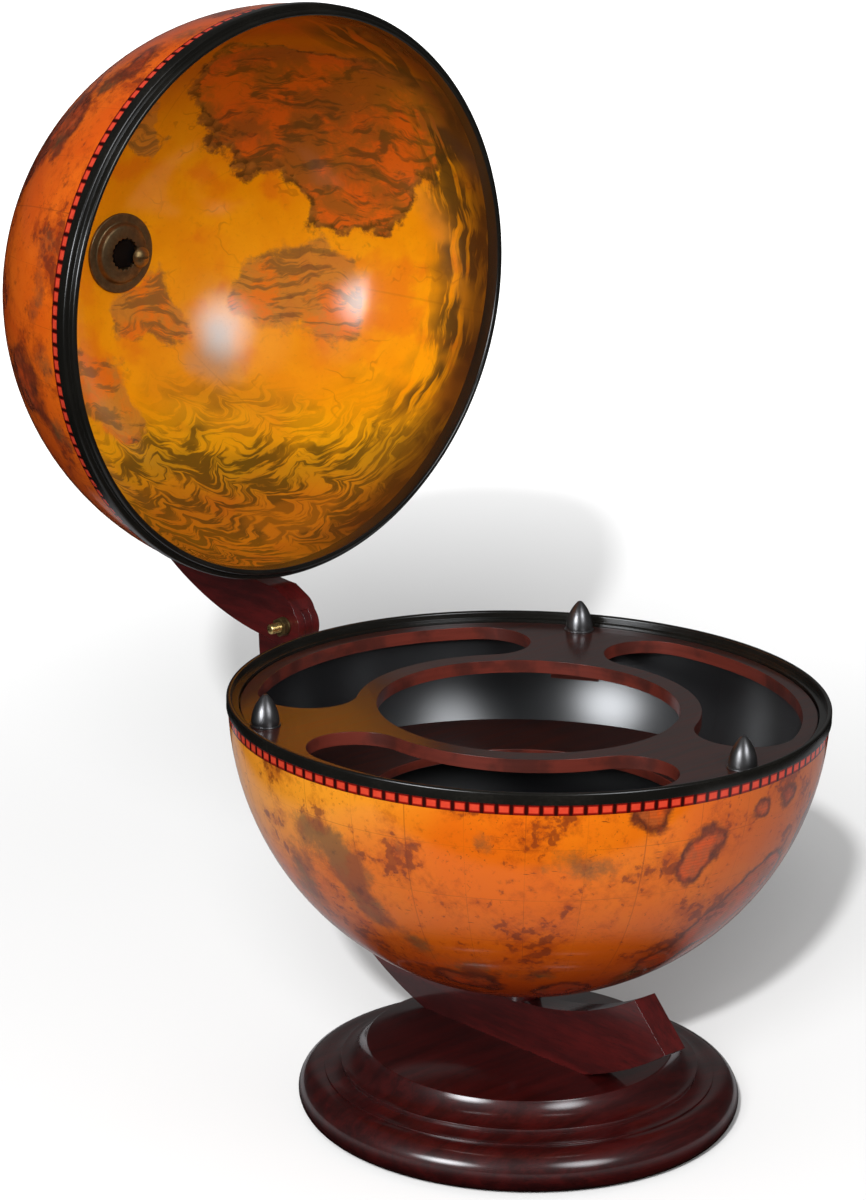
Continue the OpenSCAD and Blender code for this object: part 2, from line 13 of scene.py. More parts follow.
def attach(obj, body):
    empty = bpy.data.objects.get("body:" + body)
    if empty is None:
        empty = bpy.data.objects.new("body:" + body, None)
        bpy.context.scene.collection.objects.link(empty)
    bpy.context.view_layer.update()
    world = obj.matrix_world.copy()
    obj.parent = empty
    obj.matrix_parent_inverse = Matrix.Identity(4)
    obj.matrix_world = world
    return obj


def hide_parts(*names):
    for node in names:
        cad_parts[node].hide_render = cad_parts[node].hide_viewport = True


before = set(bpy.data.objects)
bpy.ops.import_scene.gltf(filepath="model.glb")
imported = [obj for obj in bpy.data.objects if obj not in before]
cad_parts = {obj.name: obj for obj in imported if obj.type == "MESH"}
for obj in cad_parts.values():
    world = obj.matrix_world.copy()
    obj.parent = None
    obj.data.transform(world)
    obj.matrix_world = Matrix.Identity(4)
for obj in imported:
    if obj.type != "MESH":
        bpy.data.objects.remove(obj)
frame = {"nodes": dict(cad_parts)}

log = logging.getLogger("globe_bar")
MM = 0.001
Colour = tuple[float, float, float, float]
Point = tuple[float, float, float]
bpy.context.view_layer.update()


def srgb(red: int, green: int, blue: int) -> Colour:
    """Colour as the eye reads it, 0 to 255 a channel, in the linear values that shaders take."""
    def linear(level: float) -> float:
        return level / 12.92 if level <= 0.04045 else ((level + 0.055) / 1.055) ** 2.4
    return (linear(red / 255), linear(green / 255), linear(blue / 255), 1.0)


class Body(Enum):
    """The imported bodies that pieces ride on."""
    STAND = "stand"
    LID = "lid"


class Slot(Enum):
    """Names of the material slots."""
    MAHOGANY = "mahogany"
    TRAY_WOOD = "tray_wood"
    TRIM = "black_trim"
    BRONZE = "aged_bronze"
    BRASS = "bright_brass"
    GUNMETAL = "gunmetal"


@dataclass(frozen=True)
class Spot:
    """A round spot: its middle, its reach and how much it adds."""
    centre: Point
    reach: float
    gain: float = 1.0


class Sock:
    """A value in a node tree, whose arithmetic adds Math nodes."""

    def __init__(self, tree: "Tree", out: bpy.types.NodeSocket) -> None:
        self.tree = tree
        self.out = out

    def __add__(self, other: Any) -> "Sock":
        return self.tree.math("ADD", self, other)

    def __radd__(self, other: Any) -> "Sock":
        return self.tree.math("ADD", other, self)

    def __sub__(self, other: Any) -> "Sock":
        return self.tree.math("SUBTRACT", self, other)

    def __rsub__(self, other: Any) -> "Sock":
        return self.tree.math("SUBTRACT", other, self)

    def __mul__(self, other: Any) -> "Sock":
        return self.tree.math("MULTIPLY", self, other)

    def __rmul__(self, other: Any) -> "Sock":
        return self.tree.math("MULTIPLY", other, self)

    def __truediv__(self, other: Any) -> "Sock":
        return self.tree.math("DIVIDE", self, other)

    def __rtruediv__(self, other: Any) -> "Sock":
        return self.tree.math("DIVIDE", other, self)

    def __abs__(self) -> "Sock":
        return self.tree.math("ABSOLUTE", self)


class Tree:
    """The nodes of one material or world."""

    def __init__(self, owner: bpy.types.ID) -> None:
        owner.use_nodes = True
        self.nodes = owner.node_tree.nodes
        self.links = owner.node_tree.links
        self.nodes.clear()

    def node(self, kind: str, settings: dict[str, Any], sockets: dict[Any, Any]) -> bpy.types.Node:
        """Adds one node.

        Args:
            kind: the node's type.
            settings: its own settings, set first.
            sockets: values or links of its inputs, by name or number.

        Returns:
            The node.
        """
        made = self.nodes.new(kind)
        for key, value in settings.items():
            setattr(made, key, value)
        for key, value in sockets.items():
            if isinstance(value, Sock):
                self.links.new(value.out, made.inputs[key])
            else:
                made.inputs[key].default_value = value
        return made

    def sock(self, kind: str, settings: dict[str, Any], sockets: dict[Any, Any], out: int | str = 0) -> Sock:
        """Adds one node and returns one of its outputs."""
        return Sock(self, self.node(kind, settings, sockets).outputs[out])

    def math(self, operation: str, *values: Any) -> Sock:
        """Adds a Math node on one to three values."""
        return self.sock("ShaderNodeMath", {"operation": operation}, dict(enumerate(values)))

    def vector(self, operation: str, *values: Any) -> Sock:
        """Adds a Vector Math node, with its vector output."""
        return self.sock("ShaderNodeVectorMath", {"operation": operation}, dict(enumerate(values)))

    def scaled(self, vector: Sock, factors: Point) -> Sock:
        """A vector with each axis multiplied by its own factor."""
        return self.vector("MULTIPLY", vector, factors)

    def distance(self, vector: Sock, point: Any) -> Sock:
        """Distance of a vector from a point."""
        return self.sock("ShaderNodeVectorMath", {"operation": "DISTANCE"}, {0: vector, 1: point}, "Value")

    def dot(self, vector: Sock, axis: Any) -> Sock:
        """Reach of a vector along an axis."""
        return self.sock("ShaderNodeVectorMath", {"operation": "DOT_PRODUCT"}, {0: vector, 1: axis}, "Value")

    def split(self, vector: Sock) -> tuple[Sock, Sock, Sock]:
        """The three parts of a vector."""
        parts = self.node("ShaderNodeSeparateXYZ", {}, {0: vector}).outputs
        return Sock(self, parts[0]), Sock(self, parts[1]), Sock(self, parts[2])

    def join(self, x: Any, y: Any, z: Any) -> Sock:
        """A vector from its three parts."""
        return self.sock("ShaderNodeCombineXYZ", {}, {0: x, 1: y, 2: z})

    def mix(self, factor: Any, first: Any, second: Any, blend: str = "MIX") -> Sock:
        """Blend of two colours."""
        settings = {"data_type": "RGBA", "blend_type": blend}
        return self.sock("ShaderNodeMix", settings, {0: factor, 6: first, 7: second}, 2)

    def smooth(self, value: Sock, low: float, high: float) -> Sock:
        """0 below low, 1 above high, with soft ends. Low may be the larger one."""
        if low > high:
            return 1.0 - self.smooth(value, high, low)
        settings = {"interpolation_type": "SMOOTHSTEP"}
        return self.sock("ShaderNodeMapRange", settings, {0: value, 1: low, 2: high})

    def noise(self, vector: Sock, scale: float, detail: float = 3.0, rough: float = 0.5,
              warp: float = 0.0) -> Sock:
        """Cloud-like noise about 0.5."""
        return self.sock("ShaderNodeTexNoise", {}, {
            "Vector": vector, "Scale": scale, "Detail": detail, "Roughness": rough, "Distortion": warp})

    def patches(self, vector: Sock, scale: float, low: float, high: float, detail: float = 3.0,
                rough: float = 0.5) -> Sock:
        """1 in soft patches where noise passes high, 0 where it stays under low."""
        return self.smooth(self.noise(vector, scale, detail, rough), low, high)

    def pushed(self, vector: Sock, scale: float, detail: float, reach: float) -> Sock:
        """A vector pushed about by noise, up to half of reach each way."""
        push = self.sock("ShaderNodeTexNoise", {}, {"Vector": vector, "Scale": scale, "Detail": detail}, 1)
        push = self.vector("SUBTRACT", push, (0.5, 0.5, 0.5))
        return self.vector("ADD", vector, self.scaled(push, (reach, reach, reach)))

    def cells(self, vector: Sock, scale: float, out: str = "Distance") -> Sock:
        """Voronoi cells: the distance from the nearest middle, or its place."""
        return self.sock("ShaderNodeTexVoronoi", {"feature": "F1"}, {"Vector": vector, "Scale": scale}, out)

    def mirrored(self) -> Sock:
        """1 where the surface is seen in a reflection or through a clear one."""
        path = self.node("ShaderNodeLightPath", {}, {}).outputs
        glossy, through = Sock(self, path["Is Glossy Ray"]), Sock(self, path["Is Transmission Ray"])
        return self.math("MAXIMUM", glossy, through)

    def seen(self) -> Sock:
        """1 where the camera sees the surface itself."""
        return self.sock("ShaderNodeLightPath", {}, {}, "Is Camera Ray")

    def spot(self, vector: Sock, centre: Point, radius: float) -> Sock:
        """1 in the middle of a round spot, fading to 0 at its radius."""
        return self.smooth(self.distance(vector, centre), radius, 0.0)

    def spots(self, vector: Sock, spots: Sequence[Spot]) -> Sock:
        """The sum of several spots, each by its gain."""
        total: Any = 0.0
        for spot in spots:
            total = total + self.spot(vector, spot.centre, spot.reach) * spot.gain
        return total

    def line(self, value: Sock, pitch: float, half_width: float) -> Sock:
        """1 on evenly spaced lines, 0 between them."""
        return self.smooth(self.math("PINGPONG", value, pitch / 2), half_width * 1.6, half_width * 0.6)

    def place(self, centre: Point = (0.0, 0.0, 0.0), turn: Point = (0.0, 0.0, 0.0)) -> Sock:
        """Object coordinates in millimetres about a centre.

        Args:
            centre: the new zero, in millimetres in the row frame.
            turn: degrees about X, Y and Z by which the new axes are turned.

        Returns:
            The coordinates.
        """
        read = self.sock("ShaderNodeTexCoord", {}, {}, "Object")
        return self.sock("ShaderNodeMapping", {"vector_type": "TEXTURE"}, {
            "Vector": read, "Location": tuple(c * MM for c in centre),
            "Rotation": tuple(math.radians(t) for t in turn), "Scale": (MM, MM, MM)})

    def facing(self, axis: Point) -> Sock:
        """How far the surface faces an axis, from -1 to 1."""
        return self.dot(self.sock("ShaderNodeTexCoord", {}, {}, "Normal"), axis)

    def bump(self, height: Sock, depth: float, under: Sock | None = None) -> Sock:
        """Surface relief.

        Args:
            height: 0 to 1.
            depth: millimetres from 0 to 1.
            under: relief that this one lies on.

        Returns:
            The new normal.
        """
        sockets: dict[str, Any] = {"Height": height, "Distance": depth * MM, "Strength": 1.0}
        if under is not None:
            sockets["Normal"] = under
        return self.sock("ShaderNodeBump", {}, sockets)

    def surface(self, **sockets: Any) -> None:
        """Ends the material in one shader, with each socket's name written with underscores."""
        named = {key.replace("_", " "): value for key, value in sockets.items()}
        shader = self.sock("ShaderNodeBsdfPrincipled", {}, named)
        self.node("ShaderNodeOutputMaterial", {}, {"Surface": shader})


def new_material(name: str) -> tuple[bpy.types.Material, Tree]:
    """An empty material and its node tree."""
    made = bpy.data.materials.new(name)
    return made, Tree(made)


@dataclass(frozen=True)
class GlobeFrame:
    """Where a half globe sits: its middle in millimetres, and its turn from the shut globe to rest."""
    centre: Point
    turn: Point


BOWL_FRAME = GlobeFrame((0.0, 0.0, 245.0), (0.0, 0.0, 0.0))
LID_FRAME = GlobeFrame((0.0, 197.9, 435.5), (-90.0, 0.0, 0.0))


@dataclass(frozen=True)
class Mahogany:
    """Dark stained mahogany under gloss lacquer, with its grain along one axis."""
    name: str
    dark: Colour
    light: Colour
    grain: Point

    def material(self) -> bpy.types.Material:
        """Builds the material."""
        made, tree = new_material(self.name)
        place = tree.place()
        run = tree.scaled(place, self.grain)
        rings = tree.noise(tree.pushed(run, 0.6, 2.0, 1.2), 1.0, 4.0, 0.6)
        streaks = tree.noise(run, 6.4, 5.0, 0.65)
        pores = tree.patches(run, 18.0, 0.60, 0.72, 2.0)
        tone = tree.smooth(rings * 0.6 + streaks * 0.4, 0.38, 0.64)
        colour = tree.mix(tone, self.dark, self.light)
        colour = tree.mix(pores * 0.5, colour, srgb(16, 2, 3))
        normal = tree.bump(tree.noise(place, 0.05, 2.0), 0.05, tree.bump(streaks, 0.012))
        tree.surface(Base_Color=colour, Roughness=0.40 + streaks * 0.16, IOR=1.5, Specular_IOR_Level=0.25,
                     Normal=normal, Coat_Weight=0.84 + rings * 0.2, Coat_Roughness=0.13)
        return made


@dataclass(frozen=True)
class TrayWood:
    """Dark stained, lacquered board whose cut edges stay redder and paler."""
    name: str
    face: Colour
    figure: Colour
    edge: Colour

    def material(self) -> bpy.types.Material:
        """Builds the material."""
        made, tree = new_material(self.name)
        place = tree.place()
        run = tree.scaled(place, (0.012, 0.30, 0.30))
        fibre = tree.noise(tree.pushed(run, 0.8, 2.0, 0.7), 1.4, 5.0, 0.6)
        mottle = tree.noise(place, 0.05, 4.0)
        layers = tree.noise(tree.scaled(place, (0.03, 0.03, 0.5)), 1.0, 3.0)
        face = tree.mix(tree.smooth(fibre, 0.35, 0.7) * 0.6, self.face, self.figure)
        cut = tree.mix(tree.smooth(layers, 0.3, 0.7) * 0.35, self.edge, self.figure)
        cut = tree.mix(tree.smooth(mottle, 0.42, 0.62) * 0.6, cut, self.face)
        side = tree.smooth(abs(tree.facing((0.0, 0.0, 1.0))), 0.85, 0.45)
        colour = tree.mix(side, face, cut)
        tree.surface(Base_Color=colour, Roughness=0.42 + fibre * 0.16, IOR=1.5, Specular_IOR_Level=0.15,
                     Normal=tree.bump(fibre, 0.02), Coat_Weight=0.8 - side * 0.3, Coat_Roughness=0.16)
        return made


@dataclass(frozen=True)
class BlackLacquer:
    """Black lacquer inside the bowl, with a little dust and orange peel."""
    name: str = "black_lacquer"
    centre: Point = BOWL_FRAME.centre

    def material(self) -> bpy.types.Material:
        """Builds the material."""
        made, tree = new_material(self.name)
        place = tree.place(self.centre)
        mottle = tree.noise(place, 0.03, 3.0)
        dust = tree.patches(place, 0.9, 0.62, 0.78)
        colour = tree.mix(mottle, srgb(7, 8, 10), srgb(15, 15, 18))
        colour = tree.mix(dust * 0.06, colour, srgb(90, 92, 96))
        peel = tree.bump(tree.noise(place, 0.2, 2.0), 0.012)
        tree.surface(Base_Color=colour, Roughness=0.34 + mottle * 0.10 + dust * 0.1, IOR=1.5,
                     Normal=peel, Coat_Weight=0.8, Coat_Roughness=0.2)
        return made


@dataclass(frozen=True)
class BlackTrim:
    """Black moulded band on a rim, rubbed a little paler in places."""
    name: str
    frame: GlobeFrame

    def material(self) -> bpy.types.Material:
        """Builds the material."""
        made, tree = new_material(self.name)
        place = tree.place(self.frame.centre, self.frame.turn)
        fine = tree.noise(place, 0.8, 4.0)
        patch = tree.noise(place, 0.025, 3.0)
        colour = tree.mix(patch, srgb(13, 12, 10), srgb(25, 24, 21))
        rub = tree.smooth(fine + patch, 1.02, 1.3)
        colour = tree.mix(rub * 0.12, colour, srgb(62, 58, 52))
        tree.surface(Base_Color=colour, Roughness=0.18 + fine * 0.08, IOR=1.5, Specular_IOR_Level=0.5,
                     Normal=tree.bump(patch, 0.02))
        return made


@dataclass(frozen=True)
class Felt:
    """Matted felt under the base."""
    name: str = "felt"

    def material(self) -> bpy.types.Material:
        """Builds the material."""
        made, tree = new_material(self.name)
        fibre = tree.noise(tree.place(), 1.4, 6.0, 0.75, 1.5)
        colour = tree.mix(fibre, srgb(14, 14, 15), srgb(40, 40, 42))
        tree.surface(Base_Color=colour, Roughness=0.95, Normal=tree.bump(fibre, 0.25))
        return made


@dataclass(frozen=True)
class Metal:
    """A metal with tarnish in soft patches and fine handling marks."""
    name: str
    bright: Colour
    tarnish: Colour
    roughness: float
    tarnish_share: float

    def material(self) -> bpy.types.Material:
        """Builds the material."""
        made, tree = new_material(self.name)
        place = tree.place()
        patch = tree.noise(place, 0.09, 4.0, 0.55)
        fine = tree.noise(place, 1.8, 3.0)
        low = 0.74 - self.tarnish_share * 0.5
        dull = tree.smooth(patch * 0.9 + fine * 0.1, low - 0.16, low + 0.16)
        colour = tree.mix(dull, self.bright, self.tarnish)
        tree.surface(Base_Color=colour, Metallic=0.95 - dull * 0.2,
                     Roughness=self.roughness + dull * 0.14 + fine * 0.06, Normal=tree.bump(fine, 0.006))
        return made


@dataclass(frozen=True)
class Shore:
    """One landmass on the printed globe, by longitude, latitude and reach in degrees."""
    longitude: float
    latitude: float
    reach: float
    gain: float = 0.3

    def spot(self) -> Spot:
        """Its spot on a globe of radius 1."""
        turn, rise = math.radians(self.longitude), math.radians(self.latitude)
        middle = (math.cos(rise) * math.cos(turn), math.cos(rise) * math.sin(turn), math.sin(rise))
        return Spot(middle, math.radians(self.reach), self.gain)


@dataclass(frozen=True)
class MapInks:
    """Colours of the printed map and its checked band, and of the painted light and painted shade on its
    ground.
    """
    # The next two colours are painted light on one side of the ground and painted shade on the other.
    painted_light: Colour = srgb(250, 164, 40)
    painted_shade: Colour = srgb(150, 60, 16)
    pole: Colour = srgb(176, 58, 6)
    stain: Colour = srgb(150, 50, 10)
    grime: Colour = srgb(96, 36, 14)
    land: Colour = srgb(204, 70, 26)
    hills: Colour = srgb(146, 70, 44)
    shore: Colour = srgb(62, 30, 24)
    rows: Colour = srgb(120, 48, 18)
    halo: Colour = srgb(160, 58, 12)
    islet: Colour = srgb(96, 38, 20)
    speck: Colour = srgb(90, 34, 14)
    moss: Colour = srgb(86, 72, 44)
    rust: Colour = srgb(104, 52, 34)
    grid: Colour = srgb(116, 50, 16)
    seam: Colour = srgb(132, 54, 16)
    strip: Colour = srgb(126, 12, 4)
    gap: Colour = srgb(46, 5, 3)
    block: Colour = srgb(206, 50, 28)
    worn_block: Colour = srgb(226, 80, 54)
    rule: Colour = srgb(60, 8, 4)


@dataclass(frozen=True)
class MapPrint:
    """An aged chart of made-up lands, with a checked band along the rim.

    Longitudes are those of the shut globe. By a given share, the ground gets painted light on one side and
    painted shade on the other.
    """
    name: str
    frame: GlobeFrame
    shores: tuple[Shore, ...]
    smudges: tuple[Shore, ...]
    rim_side: float
    ground: Colour
    warm: Colour
    age: float
    # Share of painted light and painted shade on the ground.
    painted_light_and_shade: float = 0.0
    band_top: float = 6.4
    band_height: float = 5.9
    band_blocks: int = 136
    grid_step: float = 11.25
    gores: int = 8
    # Ways towards the painted light and towards the painted shade.
    painted_light_way: Point = (-0.86, 0.50, 0.0)
    painted_shade_way: Point = (0.62, -0.78, 0.0)
    inks: MapInks = MapInks()

    def material(self) -> bpy.types.Material:
        """Builds the material."""
        made, tree = new_material(self.name)
        place = tree.place(self.frame.centre, self.frame.turn)
        way = tree.vector("NORMALIZE", place)
        chart = self._paper(tree, place, way)
        chart = self._lands(tree, place, way, chart)
        chart = self._grid(tree, place, way, chart)
        colour = self._band(tree, place, chart)
        fine = tree.noise(place, 0.5, 4.0)
        tree.surface(Base_Color=colour, Roughness=0.50 + fine * 0.12, IOR=1.5, Specular_IOR_Level=0.05,
                     Normal=tree.bump(tree.noise(place, 0.05, 2.0), 0.03),
                     Coat_Weight=0.80 + fine * 0.1, Coat_Roughness=0.09)
        return made

    def _paper(self, tree: Tree, place: Sock, way: Sock) -> Sock:
        """Amber ground, redder towards the pole and browned in clouds, with painted light on one side and
        painted shade on the other.
        """
        cloud = tree.noise(tree.pushed(place, 0.008, 3.0, 40.0), 0.014, 5.0, 0.6)
        colour = tree.mix(tree.smooth(cloud, 0.34, 0.66), self.ground, self.warm)
        depth = tree.split(way)[2] * self.rim_side
        # Painted light: the ground turns paler and yellower on one side, away from the pole.
        painted_light_mask = tree.smooth(tree.dot(way, self.painted_light_way) - depth, 0.30, 0.75)
        colour = tree.mix(painted_light_mask * self.painted_light_and_shade, colour, self.inks.painted_light)
        # Painted shade: the ground turns darker on the other side.
        painted_shade = tree.smooth(tree.dot(way, self.painted_shade_way), 0.50, 0.98)
        colour = tree.mix(painted_shade * (self.painted_light_and_shade * 0.62), colour, self.inks.painted_shade)
        colour = tree.mix(tree.smooth(depth, 0.34, 0.86) * 0.9, colour, self.inks.pole)
        stain = tree.patches(tree.pushed(place, 0.02, 3.0, 20.0), 0.026, 0.46, 0.66, 7.0, 0.74)
        colour = tree.mix(stain * self.age, colour, self.inks.stain)
        grime = tree.patches(place, 0.11, 0.55, 0.74, 6.0, 0.75)
        return tree.mix(grime * self.age * 0.7, colour, self.inks.grime)

    def _lands(self, tree: Tree, place: Sock, way: Sock, paper: Sock) -> Sock:
        """Lands with dark washed shores, scattered islets and loose smudges."""
        bent = tree.pushed(way, 6.0, 4.0, 0.12)
        field = tree.noise(way, 5.0, 8.0, 0.66) * 0.6
        field = field + tree.spots(bent, [shore.spot() for shore in self.shores])
        mottle = tree.noise(place, 0.10, 6.0, 0.7)
        land = tree.mix(tree.smooth(mottle, 0.36, 0.62), self.inks.land, self.inks.hills)
        colour = tree.mix(tree.smooth(field, 0.49, 0.54) * 0.7, paper, land)
        wash = tree.smooth(abs(field - 0.525), 0.095, 0.0)
        colour = tree.mix(wash * (0.40 + mottle * 0.75), colour, self.inks.shore)
        rows = tree.line(tree.split(place)[2], 1.9, 0.32) * tree.smooth(field, 0.40, 0.49)
        colour = tree.mix(rows * 0.22, colour, self.inks.rows)
        near = tree.patches(way, 4.3, 0.46, 0.66)
        islets = tree.noise(tree.pushed(way, 20.0, 3.0, 0.03), 30.0, 4.0, 0.55) * 0.82 + near * 0.18
        core = tree.smooth(islets, 0.550, 0.610)
        halo = tree.smooth(islets, 0.48, 0.58)
        colour = tree.mix(halo * 0.32, colour, self.inks.halo)
        colour = tree.mix(core * (0.30 + mottle * 0.5), colour, self.inks.islet)
        speck = tree.patches(way, 95.0, 0.62, 0.70, 3.0, 0.6) * tree.patches(way, 7.0, 0.48, 0.6)
        colour = tree.mix(speck * 0.6, colour, self.inks.speck)
        smudge = tree.spots(bent, [patch.spot() for patch in self.smudges])
        veil = tree.smooth(smudge + tree.noise(way, 17.0, 7.0, 0.74) * 0.7, 0.58, 0.88)
        rust = tree.patches(way, 9.0, 0.44, 0.58)
        tint = tree.mix(rust, self.inks.moss, self.inks.rust)
        return tree.mix(veil * 0.72, colour, tint)

    def _grid(self, tree: Tree, place: Sock, way: Sock, chart: Sock) -> Sock:
        """Faint map lines, the seams between the printed gores, and short sea strokes."""
        x, y, z = tree.split(way)
        turn = tree.math("ARCTAN2", y, x)
        step = math.radians(self.grid_step)
        rise = tree.math("ARCSINE", z)
        lines = tree.math("MAXIMUM", tree.line(rise, step, 0.0010), tree.line(turn, step, 0.0010))
        worn = 0.14 + tree.patches(way, 4.0, 0.42, 0.62) * 0.30
        colour = tree.mix(lines * worn, chart, self.inks.grid)
        seam = tree.line(turn + math.tau / self.gores / 2, math.tau / self.gores, 0.0022)
        colour = tree.mix(seam * 0.28, colour, self.inks.seam)
        strokes = tree.scaled(tree.pushed(place, 0.2, 2.0, 3.0), (0.20, 0.20, 1.6))
        dash = tree.smooth(tree.cells(strokes, 0.30), 0.15, 0.08)
        dash = dash * tree.patches(way, 6.5, 0.53, 0.60, 2.0)
        return tree.mix(dash * 0.7, colour, self.inks.grime)

    def _band(self, tree: Tree, place: Sock, chart: Sock) -> Sock:
        """The checked band: bright red blocks on a dark red strip, ruled above and below."""
        x, y, z = tree.split(place)
        depth = (z * self.rim_side - self.band_top) / self.band_height
        off = abs(depth - 0.5)
        turn = tree.math("ARCTAN2", y, x) * (self.band_blocks / math.tau) + self.band_blocks
        phase = abs(tree.math("FRACT", turn) - 0.5)
        block = tree.smooth(phase, 0.37, 0.27) * tree.smooth(off, 0.34, 0.24)
        wear = tree.noise(place, 0.35, 3.0)
        strip = tree.mix(tree.smooth(phase, 0.34, 0.42), self.inks.strip, self.inks.gap)
        red = tree.mix(wear, self.inks.block, self.inks.worn_block)
        band = tree.mix(block, strip, red)
        band = tree.mix(tree.smooth(abs(off - 0.47), 0.05, 0.02) * 0.6, band, self.inks.rule)
        return tree.mix(tree.smooth(off, 0.52, 0.49), chart, band)


@dataclass(frozen=True)
class PaintInks:
    """Colours of the picture inside the lid, and of its painted shade."""
    sky: Colour = srgb(233, 140, 0)
    bright_sky: Colour = srgb(244, 156, 2)
    # Painted shade overhead, where the inside of the lid faces down.
    painted_overhead_shade: Colour = srgb(176, 78, 8)
    drift: Colour = srgb(220, 96, 14)
    outline: Colour = srgb(150, 70, 12)
    seam: Colour = srgb(140, 70, 10)
    bank: Colour = srgb(214, 88, 18)
    brown_bank: Colour = srgb(150, 78, 26)
    strokes: Colour = srgb(66, 50, 26)
    puff: Colour = srgb(150, 88, 34)
    puff_shade: Colour = srgb(44, 33, 18)
    curl: Colour = srgb(44, 32, 18)
    wisp: Colour = srgb(224, 104, 22)
    brown_wisp: Colour = srgb(186, 116, 46)
    wisp_strokes: Colour = srgb(62, 58, 46)
    haze: Colour = srgb(132, 142, 138)
    water: Colour = srgb(226, 164, 10)
    olive_water: Colour = srgb(164, 128, 18)
    shallows: Colour = srgb(150, 78, 18)
    waves: Colour = srgb(58, 46, 14)
    cloth: Colour = srgb(158, 104, 16)
    folds: Colour = srgb(48, 40, 16)
    # Painted shade in a dark band along the rim.
    rim: Colour = srgb(54, 24, 9)
    fleck: Colour = srgb(120, 60, 8)


